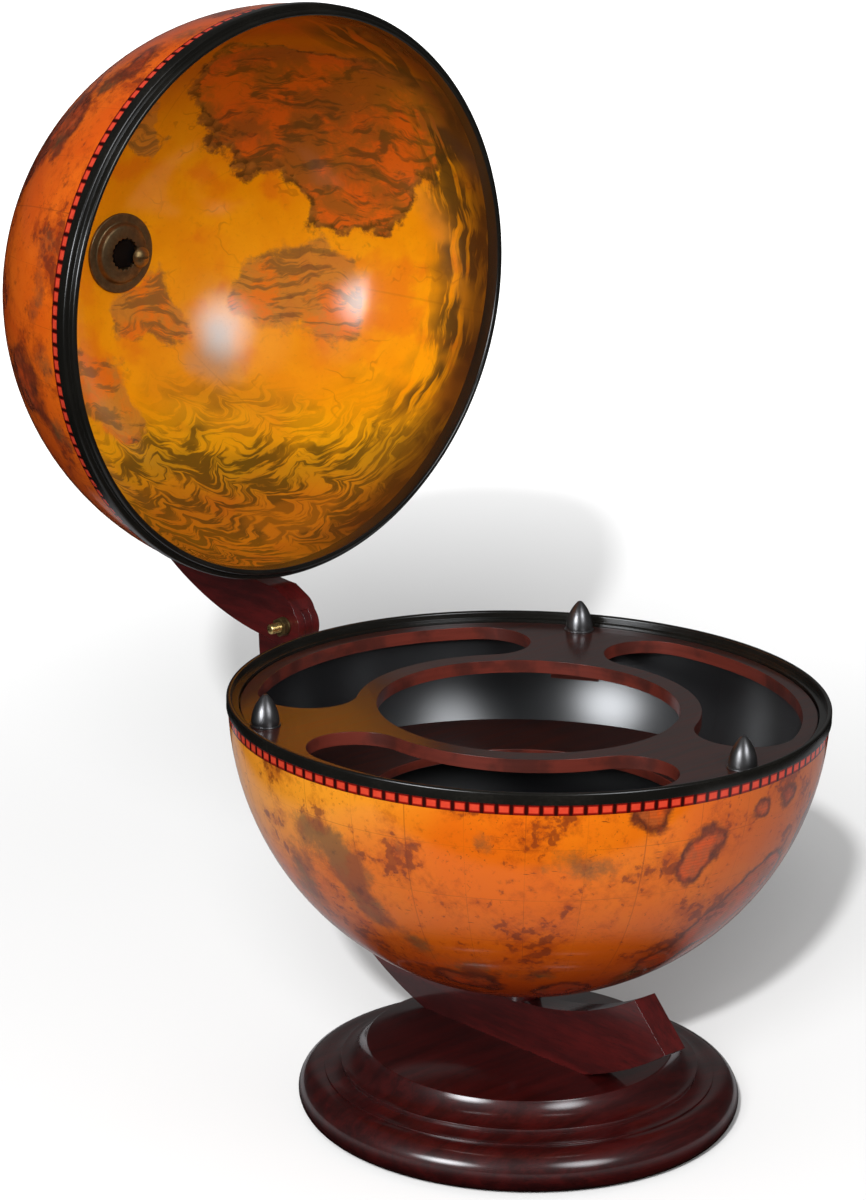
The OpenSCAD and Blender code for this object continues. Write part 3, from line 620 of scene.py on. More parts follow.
@dataclass(frozen=True)
class LidPrint:
    """The painted look inside the lid: amber sky, billowing clouds, hangings at one side, a rough sea, and
    painted shade overhead and along the rim.
    """
    name: str = "lid_print"
    centre: Point = LID_FRAME.centre
    bank: tuple[Spot, ...] = (Spot((0.56, 0.62, 0.52), 0.46), Spot((0.78, 0.58, 0.24), 0.34),
                              Spot((0.80, 0.30, 0.56), 0.40), Spot((0.34, 0.64, 0.68), 0.30))
    wisps: tuple[Spot, ...] = (Spot((0.10, 0.96, -0.22), 0.24), Spot((0.66, 0.72, -0.16), 0.36),
                               Spot((-0.22, 0.84, -0.48), 0.30), Spot((0.06, 0.88, 0.46), 0.16))
    haze: Spot = Spot((0.36, 0.86, -0.34), 0.26)
    puff_size: float = 8.5
    seams: int = 8
    inks: PaintInks = PaintInks()

    def material(self) -> bpy.types.Material:
        """Builds the material."""
        made, tree = new_material(self.name)
        place = tree.place(self.centre)
        way = tree.vector("NORMALIZE", place)
        colour = self._sky(tree, place, way)
        colour = self._sea(tree, place, way, colour)
        colour = self._clouds(tree, place, way, colour)
        colour = self._hangings(tree, way, colour)
        fine = tree.noise(place, 0.5, 4.0)
        colour = tree.mix(tree.smooth(fine, 0.55, 0.75) * 0.10, colour, self.inks.fleck)
        tree.surface(Base_Color=colour, Roughness=0.50 + fine * 0.1, IOR=1.5, Specular_IOR_Level=0.05,
                     Normal=tree.bump(tree.noise(place, 0.05, 2.0), 0.02),
                     Coat_Weight=0.72 + fine * 0.1, Coat_Roughness=0.12)
        return made

    def _billow(self, tree: Tree, place: Sock, size: float) -> tuple[Sock, Sock]:
        """Round cloud tops.

        Args:
            tree: the material's nodes.
            place: coordinates in millimetres.
            size: width of one top in millimetres.

        Returns:
            Shade from 0 in the light to 1 in the dark, and dark lines between the tops.
        """
        bent = tree.pushed(place, 0.7 / size, 4.0, size * 1.3)
        middle = tree.cells(bent, 1.0 / size, "Position")
        offset = tree.vector("SUBTRACT", bent, middle)
        shade = tree.smooth(tree.dot(offset, (-0.45, 0.2, 0.87)), size * 0.40, size * -0.45)
        return shade, tree.smooth(tree.distance(bent, middle), size * 0.42, size * 0.56)

    def _sky(self, tree: Tree, place: Sock, way: Sock) -> Sock:
        """Amber ground, browner overhead as painted shade, with soft orange drifts and faint cloud outlines.
        """
        cloud = tree.noise(tree.pushed(place, 0.01, 3.0, 30.0), 0.016, 5.0, 0.6)
        colour = tree.mix(tree.smooth(cloud, 0.34, 0.66), self.inks.sky, self.inks.bright_sky)
        x, y, z = tree.split(way)
        # Painted shade: darker overhead, where the inside of the lid faces down.
        colour = tree.mix(tree.smooth(z, 0.30, 0.90) * 0.8, colour, self.inks.painted_overhead_shade)
        drift = tree.patches(tree.pushed(place, 0.03, 3.0, 24.0), 0.026, 0.52, 0.66, 4.0)
        colour = tree.mix(drift * 0.5, colour, self.inks.drift)
        swells = tree.noise(tree.pushed(place, 0.024, 3.0, 24.0), 0.03, 3.0)
        outline = tree.line(swells * 6.0, 1.0, 0.05) * tree.patches(way, 5.0, 0.48, 0.62, 4.0)
        colour = tree.mix(outline * 0.34, colour, self.inks.outline)
        around = tree.math("ARCTAN2", z, x) + 0.2
        seam = tree.line(around, math.tau / self.seams, 0.004) * tree.smooth(y, 0.97, 0.8)
        return tree.mix(seam * 0.18, colour, self.inks.seam)

    def _clouds(self, tree: Tree, place: Sock, way: Sock, sky: Sock) -> Sock:
        """A dark bank of curling clouds high up on the right, and broken wisps lower down."""
        bent = tree.pushed(way, 3.0, 6.0, 0.40)
        bank = tree.spots(bent, self.bank)
        ragged = tree.noise(way, 9.0, 6.0, 0.66)
        shape = bank + ragged * 0.8
        body = tree.smooth(shape, 0.58, 0.70)
        core = tree.noise(tree.pushed(place, 0.03, 4.0, 30.0), 0.032, 6.0, 0.64)
        drawn = tree.scaled(tree.pushed(place, 0.022, 3.0, 46.0), (0.035, 0.035, 0.17))
        wisps = tree.noise(drawn, 1.0, 5.0, 0.62)
        tone = tree.mix(tree.smooth(core, 0.40, 0.58), self.inks.bank, self.inks.brown_bank)
        tone = tree.mix(tree.smooth(wisps, 0.50, 0.62) * 0.85, tone, self.inks.strokes)
        shade, curls = self._billow(tree, place, self.puff_size)
        border = tree.smooth(abs(shape - 0.70), 0.13, 0.03)
        puffs = tree.mix(shade, self.inks.puff, self.inks.puff_shade)
        puffs = tree.mix(curls * 0.4, puffs, self.inks.curl)
        tone = tree.mix(border * 0.95, tone, puffs)
        colour = tree.mix(body * 0.88, sky, tone)
        loose = tree.spots(bent, self.wisps)
        soft = tree.smooth(loose + ragged * 0.9, 0.68, 0.86)
        tone = tree.mix(tree.smooth(core, 0.40, 0.54), self.inks.wisp, self.inks.brown_wisp)
        tone = tree.mix(tree.smooth(wisps, 0.48, 0.58) * 0.9, tone, self.inks.wisp_strokes)
        colour = tree.mix(tree.spots(bent, (self.haze,)) * 0.8, colour, self.inks.haze)
        return tree.mix(soft * 0.72, colour, tone)

    def _sea(self, tree: Tree, place: Sock, way: Sock, sky: Sock) -> Sock:
        """Rolling water along the bottom: scalloped waves in olive and brown strokes."""
        x, y, z = tree.split(way)
        drop = tree.math("ARCTAN2", z, y)
        swell = tree.noise(tree.join(x * 2.2, drop * 4.0, 0.0), 1.0, 3.0)
        crest = abs(tree.math("SINE", x * 15.0 + drop * 4.0 + swell * 7.0)) * 0.075
        rolled = drop + crest + tree.noise(tree.scaled(place, (0.03, 0.03, 0.03)), 1.0, 3.0) * 0.12
        strokes = tree.noise(tree.join(x * 6.0, rolled * 27.0, 0.0), 1.0, 4.0, 0.58)
        depth = tree.smooth(z + tree.noise(way, 3.0, 4.0) * 0.40, -0.24, -0.56)
        water = tree.mix(tree.smooth(swell, 0.4, 0.6), self.inks.water, self.inks.olive_water)
        water = tree.mix(tree.smooth(z + swell * 0.3, -0.52, -0.76), water, self.inks.shallows)
        colour = tree.mix(depth * 0.75, sky, water)
        full = 0.16 + tree.smooth(swell, 0.40, 0.56) * 0.62 + tree.smooth(z, -0.45, -0.75) * 0.5
        dark = tree.smooth(strokes, 0.45, 0.54) * depth * tree.math("MINIMUM", full, 1.0)
        return tree.mix(dark * 0.78, colour, self.inks.waves)

    def _hangings(self, tree: Tree, way: Sock, colour: Sock) -> Sock:
        """Broken brush strokes that follow the rim on the right, and painted shade in a dark band along the
        rim.
        """
        x, y, z = tree.split(way)
        around = tree.math("ARCTAN2", z, x)
        sway = tree.noise(way, 3.0, 3.0)
        folds = tree.noise(tree.join(around * 3.0, y * 20.0 + sway * 3.4, 0.0), 1.0, 4.0, 0.55)
        bundle = tree.patches(tree.join(around * 2.6, y * 2.6, 3.0), 1.0, 0.38, 0.50)
        edge = tree.smooth(y + sway * 0.40, 0.55, 0.40) * tree.smooth(x, 0.16, 0.42)
        edge = edge * tree.smooth(around, -1.15, -0.80)
        # Painted shade: a dark band along the rim, mostly on the right.
        rim = tree.smooth(y + sway * 0.05, 0.26, 0.08) * tree.smooth(x, -0.2, 0.5)
        colour = tree.mix(edge * tree.smooth(folds, 0.38, 0.45) * 0.42, colour, self.inks.cloth)
        colour = tree.mix(edge * bundle * tree.smooth(folds, 0.44, 0.51) * 0.86, colour, self.inks.folds)
        return tree.mix(rim * 0.86, colour, self.inks.rim)


def shade_by_angle(bm: bmesh.types.BMesh, sharp: float) -> None:
    """Smooths a shape's shading but for edges of at least so many degrees."""
    for face in bm.faces:
        face.smooth = True
    for edge in bm.edges:
        edge.smooth = len(edge.link_faces) != 2 or edge.calc_face_angle(0.0) < math.radians(sharp)


def finished_piece(name: str, bm: bmesh.types.BMesh, material: bpy.types.Material, body: Body,
                   nodes: Sequence[str], sharp: float = 32.0) -> bpy.types.Object:
    """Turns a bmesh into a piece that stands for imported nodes.

    Args:
        name: the piece's name.
        bm: its shape in metres in the row frame, which is freed.
        material: its finish.
        body: the body that it rides on.
        nodes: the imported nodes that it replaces.
        sharp: degrees from which an edge stays crisp.

    Returns:
        The piece.
    """
    bmesh.ops.recalc_face_normals(bm, faces=bm.faces)
    shade_by_angle(bm, sharp)
    mesh = bpy.data.meshes.new(name)
    bm.to_mesh(mesh)
    bm.free()
    mesh.materials.append(material)
    piece = bpy.data.objects.new(name, mesh)
    bpy.context.scene.collection.objects.link(piece)
    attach(piece, body.value)
    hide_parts(*nodes)
    log.info("made %s with %d faces", name, len(mesh.polygons))
    return piece


def dress(node: str, material: bpy.types.Material) -> None:
    """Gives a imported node, kept as it is, its finish."""
    for held in frame["nodes"][node].material_slots:
        held.material = material
    log.info("dressed %s", node)


def softened(node: str, width: float, segments: int, sharp: float = 35.0) -> bmesh.types.BMesh:
    """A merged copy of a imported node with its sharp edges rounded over.

    Args:
        node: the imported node.
        width: millimetres that the rounding takes off each side of an edge.
        segments: steps in the rounding.
        sharp: degrees from which an edge is rounded.

    Returns:
        The new shape.
    """
    bm = bmesh.new()
    bm.from_mesh(frame["nodes"][node].data)
    bmesh.ops.remove_doubles(bm, verts=bm.verts, dist=0.002 * MM)
    bmesh.ops.dissolve_limit(bm, angle_limit=math.radians(0.3), verts=bm.verts, edges=bm.edges)
    edges = [e for e in bm.edges if len(e.link_faces) == 2 and e.calc_face_angle(0.0) > math.radians(sharp)]
    bmesh.ops.bevel(bm, geom=edges, offset=width * MM, affect="EDGES", segments=segments,
                    profile=0.5, material=-1, clamp_overlap=True)
    return bm


def keep_flats(piece: bpy.types.Object) -> None:
    """Keeps broad flat faces flat in shading beside narrow rounded edges."""
    weighted = piece.modifiers.new("flat_faces", "WEIGHTED_NORMAL")
    weighted.keep_sharp = True


@dataclass(frozen=True)
class Corner:
    """One corner of a turned outline: distance from the axis, height, and the radius that rounds it."""
    radius: float
    height: float
    round: float = 0.0


def turned(outline: Sequence[Corner], closed: bool, steps: int) -> bmesh.types.BMesh:
    """Turns an outline about the Z axis.

    Args:
        outline: its corners in millimetres.
        closed: whether the outline is a loop clear of the axis, as for a ring.
        steps: faces round the axis.

    Returns:
        The turned shape about the origin, in metres.
    """
    bm = bmesh.new()
    verts = [bm.verts.new((c.radius * MM, 0.0, c.height * MM)) for c in outline]
    ends = verts[1:] + verts[:1] if closed else verts[1:]
    for start, end in zip(verts, ends):
        bm.edges.new((start, end))
    for rounding in sorted({c.round for c in outline if c.round > 0.0}):
        chosen = [v for v, c in zip(verts, outline) if c.round == rounding]
        bmesh.ops.bevel(bm, geom=chosen, offset=rounding * MM, affect="VERTICES", segments=5,
                        profile=0.5, material=-1)
    bmesh.ops.spin(bm, geom=bm.verts[:] + bm.edges[:], cent=(0.0, 0.0, 0.0), axis=(0.0, 0.0, 1.0),
                   dvec=(0.0, 0.0, 0.0), angle=math.tau, steps=steps, use_merge=True)
    bmesh.ops.remove_doubles(bm, verts=bm.verts, dist=0.001 * MM)
    return bm


def stood(bm: bmesh.types.BMesh, centre: Point, turn: Point = (0.0, 0.0, 0.0)) -> bmesh.types.BMesh:
    """Turns a shape about the origin by degrees about X, Y and Z, then moves it by millimetres."""
    for angle, axis in zip(turn, "XYZ"):
        if angle:
            matrix = Matrix.Rotation(math.radians(angle), 3, axis)
            bmesh.ops.rotate(bm, cent=(0.0, 0.0, 0.0), matrix=matrix, verts=bm.verts)
    bmesh.ops.translate(bm, vec=tuple(c * MM for c in centre), verts=bm.verts)
    return bm


def joined(parts: Sequence[bmesh.types.BMesh]) -> bmesh.types.BMesh:
    """One shape from several, which are freed."""
    whole = bmesh.new()
    for part in parts:
        held = bpy.data.meshes.new("joined_part")
        part.to_mesh(held)
        part.free()
        whole.from_mesh(held)
        bpy.data.meshes.remove(held)
    return whole


class Finishes:
    """Every finish of the bar, built once."""

    def __init__(self) -> None:
        self.base = Mahogany("mahogany", srgb(38, 3, 3), srgb(62, 7, 6), (0.010, 0.12, 0.12)).material()
        self.arm = Mahogany("mahogany_arm", srgb(54, 8, 8), srgb(82, 13, 12), (0.20, 0.012, 0.10)).material()
        self.tray = TrayWood("tray_wood", srgb(44, 24, 21), srgb(72, 28, 20), srgb(104, 42, 32)).material()
        self.lining = BlackLacquer().material()
        self.bowl_trim = BlackTrim("black_trim", BOWL_FRAME).material()
        self.lid_trim = BlackTrim("black_trim_lid", LID_FRAME).material()
        self.felt = Felt().material()
        self.bronze = Metal("aged_bronze", srgb(140, 118, 84), srgb(88, 70, 46), 0.34, 0.5).material()
        self.brass = Metal("bright_brass", srgb(226, 196, 128), srgb(140, 108, 56), 0.24, 0.3).material()
        self.screw_brass = Metal("screw_brass", srgb(168, 142, 96), srgb(96, 76, 46), 0.26, 0.4).material()
        self.blackened = Metal("blackened_steel", srgb(26, 26, 28), srgb(14, 14, 16), 0.34, 0.5).material()
        self.nut_brass = Metal("nut_brass", srgb(150, 128, 84), srgb(72, 58, 34), 0.28, 0.55).material()
        self.pewter = Metal("gunmetal", srgb(112, 111, 112), srgb(70, 69, 69), 0.28, 0.35).material()
        self.steel = Metal("zinc_steel", srgb(190, 192, 196), srgb(120, 122, 124), 0.34, 0.3).material()
        # The bowl's map takes 0.8 as its share of painted light and painted shade; the lid's map takes none.
        self.bowl_map = MapPrint("map_print", BOWL_FRAME, BOWL_SHORES, BOWL_SMUDGES, -1.0,
                                 srgb(222, 102, 8), srgb(228, 116, 12), 0.60, 0.8).material()
        self.lid_map = MapPrint("map_print_lid", LID_FRAME, LID_SHORES, LID_SMUDGES, 1.0,
                                srgb(208, 80, 6), srgb(224, 102, 12), 0.92).material()
        self.lid_print = LidPrint().material()


BOWL_SHORES = (
    Shore(-98.5, -14.0, 10.0), Shore(-103.0, -17.5, 7.0), Shore(-111.0, -4.5, 8.5),
    Shore(-77.0, -26.0, 11.0, 0.42), Shore(-81.0, -31.0, 12.5, 0.42), Shore(-87.0, -38.0, 12.5, 0.42),
    Shore(-97.0, -46.0, 10.0, 0.4), Shore(-120.0, -56.0, 10.0, 0.36), Shore(-150.0, -52.0, 12.0, 0.36),
    Shore(-77.0, -8.0, 6.0), Shore(-86.0, -9.5, 4.5), Shore(-62.0, -20.0, 12.0), Shore(-30.0, -25.0, 22.0),
    Shore(20.0, -18.0, 18.0), Shore(35.0, -40.0, 16.0), Shore(95.0, -30.0, 24.0), Shore(130.0, -12.0, 12.0),
)
BOWL_SMUDGES = (
    Shore(-173.5, -17.0, 10.0, 0.62), Shore(-171.0, -24.0, 9.0, 0.62), Shore(-168.0, -31.0, 8.0, 0.55),
    Shore(178.0, -14.0, 9.0, 0.5), Shore(174.0, -24.0, 10.0, 0.5), Shore(170.0, -33.0, 10.0, 0.5),
    Shore(-160.0, -38.0, 8.0, 0.5), Shore(-148.0, -45.0, 10.0, 0.5), Shore(-132.0, -47.0, 8.0, 0.45),
    Shore(-128.0, -13.0, 8.0, 0.4), Shore(-120.0, -15.5, 8.0, 0.4), Shore(-158.0, -13.0, 8.0, 0.36),
    Shore(-143.0, -9.0, 6.0, 0.4), Shore(-100.0, -52.0, 14.0, 0.45), Shore(60.0, -20.0, 14.0, 0.4),
)
LID_SHORES = (
    Shore(-122.0, 12.0, 12.0), Shore(-138.0, 24.0, 14.0), Shore(-150.0, 36.0, 16.0),
    Shore(-100.0, 30.0, 16.0), Shore(-60.0, 18.0, 18.0), Shore(-20.0, 34.0, 20.0),
    Shore(30.0, 22.0, 22.0), Shore(80.0, 40.0, 18.0), Shore(165.0, 20.0, 16.0),
)
LID_SMUDGES = (
    Shore(-112.0, 8.0, 9.0, 0.45), Shore(-128.0, 16.0, 9.0, 0.5), Shore(-143.0, 20.0, 9.0, 0.45),
    Shore(-165.0, 9.0, 10.0, 0.4), Shore(-176.0, 11.0, 9.0, 0.45), Shore(172.0, 8.0, 10.0, 0.4),
    Shore(158.0, 8.0, 10.0, 0.45), Shore(-155.0, 40.0, 14.0, 0.4), Shore(40.0, 10.0, 12.0, 0.4),
)


@dataclass
class TurnedBase:
    """The turned base with its felt and screws: bead, cove, small step, and a hollow up to the platform."""
    floor: float = 1.0
    bead: float = 12.3
    bead_centre: float = 111.7
    fillet: Corner = Corner(109.5, 26.4, 0.25)
    cove_start: float = 108.3
    cove_rise: float = 2.0
    step: float = 100.3
    step_top: float = 31.0
    hollow_start: float = 98.5
    hollow_radius: float = 16.3
    hollow_angles: tuple[float, float] = (80.0, 19.5)
    platform: Corner = Corner(86.0, 41.6, 0.45)

    def _outline(self) -> list[Corner]:
        """The base's outline from the middle of its underside to the middle of its platform."""
        bead = [Corner(self.bead_centre + self.bead * math.sin(a),
                       self.floor + self.bead * (1 - math.cos(a)))
                for a in (math.pi * i / 32 for i in range(33))]
        run = self.cove_start - self.step
        sweep = (run ** 2 + self.cove_rise ** 2) / (2 * self.cove_rise)
        reach = math.asin(run / sweep)
        cove = [Corner(self.cove_start - sweep * math.sin(a), self.fillet.height + sweep * (1 - math.cos(a)))
                for a in (reach * i / 10 for i in range(11))]
        high, low = (math.radians(a) for a in self.hollow_angles)
        hollow = [Corner(self.platform.radius + self.hollow_radius * (math.cos(low) - math.cos(a)),
                         self.platform.height - self.hollow_radius * (math.sin(a) - math.sin(low)))
                  for a in (high + (low - high) * i / 16 for i in range(16))]
        bead_top = Corner(self.fillet.radius, self.floor + 2 * self.bead)
        step = Corner(self.step, self.step_top, self.fillet.round)
        return [Corner(0.0, self.floor), *bead, bead_top, self.fillet, *cove, step, *hollow, self.platform,
                Corner(0.0, self.platform.height)]

    def build(self, look: Finishes) -> None:
        """Turns the base and dresses what lies under it."""
        shape = turned(self._outline(), False, 192)
        finished_piece("base_turning", shape, look.base, Body.STAND, ["base_plinth"], 24.0)
        dress("base_felt", look.felt)
        dress("base_screws", look.steel)


@dataclass
class CurvedArm:
    """One of the two curved boards."""
    node: str
    body: Body
    arris: float = 1.6

    def build(self, look: Finishes) -> None:
        """Rounds the board's edges over and lacquers it."""
        shape = softened(self.node, self.arris, 4)
        keep_flats(finished_piece(self.node + "_board", shape, look.arm, self.body,
                                  [self.node]))


@dataclass
class RimBand:
    """The black band over one rim, a moulded ring whose lips shut into each other."""
    name: str
    node: str
    home: GlobeFrame
    body: Body
    tilt: float
    inner: float = 159.0
    outer: float = 165.8
    wall: float = 1.4
    skirt: float = 6.3
    web: float = 1.5
    lip: float = 4.0
    lid_lip: float = 162.4
    bowl_lip: float = 162.9
    bowl_flap: float = 0.77
    bowl_flap_drop: float = 2.0
    lid_flap: float = 0.87
    lid_flap_end: float = 5.0
    steps: int = 360

    def bowl_outline(self) -> list[Corner]:
        """Outline of the bowl's band: a tall lip with a rebate inside it, and a flap over the lining."""
        seat = self.lip + self.web
        return [Corner(self.outer, -self.skirt, 0.2), Corner(self.outer, 0.0, 1.25),
                Corner(self.bowl_lip, 0.0, 1.25), Corner(self.bowl_lip, -self.lip, 0.3),
                Corner(self.inner, -self.lip, 0.3), Corner(self.inner, -seat - self.bowl_flap_drop),
                Corner(self.inner + self.bowl_flap, -seat - self.bowl_flap_drop),
                Corner(self.inner + self.bowl_flap, -seat),
                Corner(self.outer - self.wall, -seat), Corner(self.outer - self.wall, -self.skirt)]

    def lid_outline(self) -> list[Corner]:
        """Outline of the lid's band: a rounded shoulder, and the lip that shuts into the bowl's rebate."""
        return [Corner(self.outer, -self.skirt, 0.2), Corner(self.outer, 0.0, 1.3),
                Corner(self.lid_lip, 0.0, 0.35), Corner(self.lid_lip, self.lip, 1.5),
                Corner(self.inner, self.lip, 1.5), Corner(self.inner, -self.lid_flap_end),
                Corner(self.inner + self.lid_flap, -self.lid_flap_end),
                Corner(self.inner + self.lid_flap, -self.web),
                Corner(self.outer - self.wall, -self.web), Corner(self.outer - self.wall, -self.skirt)]

    def build(self, material: bpy.types.Material) -> None:
        """Turns the band and sets it on its rim."""
        outline = self.bowl_outline() if self.body is Body.STAND else self.lid_outline()
        shape = stood(turned(outline, True, self.steps), self.home.centre, (self.tilt, 0.0, 0.0))
        finished_piece(self.name, shape, material, self.body, [self.node], 50.0)


@dataclass
class PoleFitting:
    """The flange inside one pole, with the toothed hole of its bolt and a slotted locking screw."""
    side: str
    home: GlobeFrame
    body: Body
    tilt: float
    lining: float = 158.97
    radius: float = 24.0
    rim_height: float = 1.7
    seat_radii: tuple[float, float] = (14.0, 18.0)
    dish: float = 21.0
    dish_drop: float = 0.05
    shoulder: float = 18.6
    shoulder_drop: float = 0.35
    boss: float = 17.2
    boss_drop: float = 0.7
    lead_in: float = 13.6
    lead_in_drop: float = 0.15
    top: float = 152.0
    hole: float = 10.0
    hole_lip: float = 0.4
    teeth: int = 18
    tooth_depth: float = 1.15
    lock_place: tuple[float, float] = (11.8, -3.2)
    lock_gap: float = 0.03
    dome_radius: float = 6.2
    dome_height: float = 3.4
    dome_edge: float = 0.7
    slot_width: float = 1.4
    slot_depth: float = 1.3
    disc_height: float = 0.5
    disc_inset: float = 0.05

    def _seat(self, radius: float) -> float:
        """Height of the lining under a radius."""
        return -math.sqrt(self.lining ** 2 - radius ** 2)

    def _flange(self) -> bmesh.types.BMesh:
        """A dished ring with a raised boss and teeth round its hole."""
        under = [Corner(r, self._seat(r)) for r in (self.hole, *self.seat_radii, self.dish, self.radius)]
        rim = self._seat(self.radius) + self.rim_height
        over = [Corner(self.radius, rim, 0.6), Corner(self.dish, rim - self.dish_drop),
                Corner(self.shoulder, rim - self.shoulder_drop, 0.7),
                Corner(self.boss, -self.top - self.boss_drop, 1.0),
                Corner(self.lead_in, -self.top - self.lead_in_drop), Corner(self.hole, -self.top, 0.3)]
        ring = turned(under + over, True, self.teeth * 8)
        for vert in ring.verts:
            radius = math.hypot(vert.co.x, vert.co.y) / MM
            if radius < self.hole + self.hole_lip:
                turn = math.atan2(vert.co.y, vert.co.x) / math.tau * self.teeth + 0.5
                tip = 2 * abs(turn - math.floor(turn) - 0.5)
                scale = (radius - self.tooth_depth * tip) / radius
                vert.co.x *= scale
                vert.co.y *= scale
        return ring

    def _lock_screw(self) -> bmesh.types.BMesh:
        """A domed screw head in two halves beside its slot, over a plain disc."""
        rise = self.dome_height - self.dome_edge
        sphere = (self.dome_radius ** 2 + rise ** 2) / (2 * rise)
        arc = [Corner(sphere * math.sin(a), self.dome_height - sphere * (1 - math.cos(a)))
               for a in (math.asin(self.dome_radius / sphere) * i / 8 for i in range(9))]
        floor = self.dome_height - self.slot_depth
        parts = []
        for side in (-1.0, 1.0):
            half = turned(arc + [Corner(self.dome_radius, 0.0), Corner(0.0, 0.0)], False, 48)
            cut = bmesh.ops.bisect_plane(half, geom=half.verts[:] + half.edges[:] + half.faces[:],
                                         plane_co=(0.0, side * self.slot_width / 2 * MM, 0.0),
                                         plane_no=(0.0, -side, 0.0), clear_outer=True)
            rims = [e for e in cut["geom_cut"] if isinstance(e, bmesh.types.BMEdge)]
            bmesh.ops.holes_fill(half, edges=rims)
            parts.append(half)
        reach = math.sqrt(sphere ** 2 - (sphere - self.slot_depth) ** 2)
        edge = self.dome_radius - self.disc_inset
        disc = turned([Corner(0.0, floor), Corner(min(reach, self.dome_radius) - 2 * self.disc_inset, floor),
                       Corner(edge, self.disc_height), Corner(edge, 0.0), Corner(0.0, 0.0)], False, 48)
        return joined(parts + [disc])

    def build(self, look: Finishes) -> None:
        """Turns the flange, cuts its teeth and puts the screw head on."""
        flange = stood(self._flange(), self.home.centre, (self.tilt, 0.0, 0.0))
        finished_piece(self.side + "_pole_flange", flange, look.bronze, self.body,
                       [self.side + "_flange"], 40.0)
        screw = stood(self._lock_screw(), (*self.lock_place, self.lock_gap - self.top))
        screw = stood(screw, (0.0, 0.0, 0.0), (self.tilt, 0.0, 0.0))
        screw = stood(screw, self.home.centre)
        finished_piece(self.side + "_lock_head", screw, look.screw_brass, self.body,
                       [self.side + "_lock_screw"], 40.0)
        dress(self.side + "_bolt", look.blackened)
        dress(self.side + "_spacer", look.arm)


@dataclass
class HalfGlobes:
    """Both half globes with their linings, bands and pole fittings."""
    bowl_tilt: float = 0.0
    lid_tilt: float = 90.0

    def build(self, look: Finishes) -> None:
        """Prints the globes, lacquers the bowl inside and builds what is fixed to them."""
        dress("bowl_shell", look.bowl_map)
        dress("lid_shell", look.lid_map)
        dress("bowl_lining", look.lining)
        dress("lid_lining", look.lid_print)
        RimBand("bowl_rim_band", "bowl_trim", BOWL_FRAME, Body.STAND, self.bowl_tilt).build(look.bowl_trim)
        RimBand("lid_rim_band", "lid_trim", LID_FRAME, Body.LID, self.lid_tilt).build(look.lid_trim)
        PoleFitting("bowl", BOWL_FRAME, Body.STAND, self.bowl_tilt).build(look)
        PoleFitting("lid", LID_FRAME, Body.LID, self.lid_tilt).build(look)
        dress("bowl_insert", look.brass)
        dress("lid_washer", look.brass)
        dress("lid_cap_nut", look.brass)


@dataclass
class TrayDeck:
    """The tray on its blocks, and the shelf ring under it."""
    arris: float = 0.9

    def build(self, look: Finishes) -> None:
        """Rounds the tray's cut edges and stains every board."""
        shape = softened("tray", self.arris, 4)
        keep_flats(finished_piece("tray_board", shape, look.tray, Body.STAND, ["tray"]))
        shelf = softened("bottle_shelf", self.arris, 3)
        keep_flats(finished_piece("shelf_ring", shelf, look.tray, Body.STAND,
                                  ["bottle_shelf"]))
        dress("tray_blocks", look.tray)


@dataclass
class GuidePegs:
    """Three turned pegs with a rounded foot and a shallow bead, on studs through the tray."""
    ring: float = 149.47
    angles: tuple[float, ...] = (34.0, 154.0, 274.0)
    level: float = 239.5
    radius: float = 7.8
    height: float = 17.5
    foot: float = 8.5
    foot_height: float = 1.0
    tip: float = 2.4
    stud: float = 2.0
    stud_length: float = 22.0

    def _outline(self) -> list[Corner]:
        """The peg's outline from the end of its stud to its tip."""
        rise = self.height - self.foot_height - self.tip
        side = (rise ** 2 + self.radius ** 2 - self.tip ** 2) / (2 * (self.radius - self.tip))
        lean = math.asin(rise / (side - self.tip))
        flank = [Corner(self.radius - side + side * math.cos(a), self.foot_height + side * math.sin(a))
                 for a in (lean * i / 12 for i in range(13))]
        point = [Corner(self.tip * math.cos(a), self.height - self.tip + self.tip * math.sin(a))
                 for a in (lean + (math.pi / 2 - lean) * i / 6 for i in range(1, 7))]
        point[-1] = Corner(0.0, self.height)
        groove = [Corner(self.foot, 0.0, 0.25), Corner(self.foot, self.foot_height, 0.4),
                  Corner(self.radius - 0.25, self.foot_height + 0.1)]
        stem = [Corner(0.0, -self.stud_length), Corner(self.stud, -self.stud_length), Corner(self.stud, 0.0)]
        return stem + groove + flank[1:] + point

    def build(self, look: Finishes) -> None:
        """Turns the pegs and stands them round the tray."""
        pegs = []
        for angle in self.angles:
            turn = math.radians(angle)
            spot = (self.ring * math.cos(turn), self.ring * math.sin(turn), self.level)
            pegs.append(stood(turned(self._outline(), False, 64), spot))
        finished_piece("peg_turnings", joined(pegs), look.pewter, Body.STAND,
                       ["guide_pegs"], 38.0)


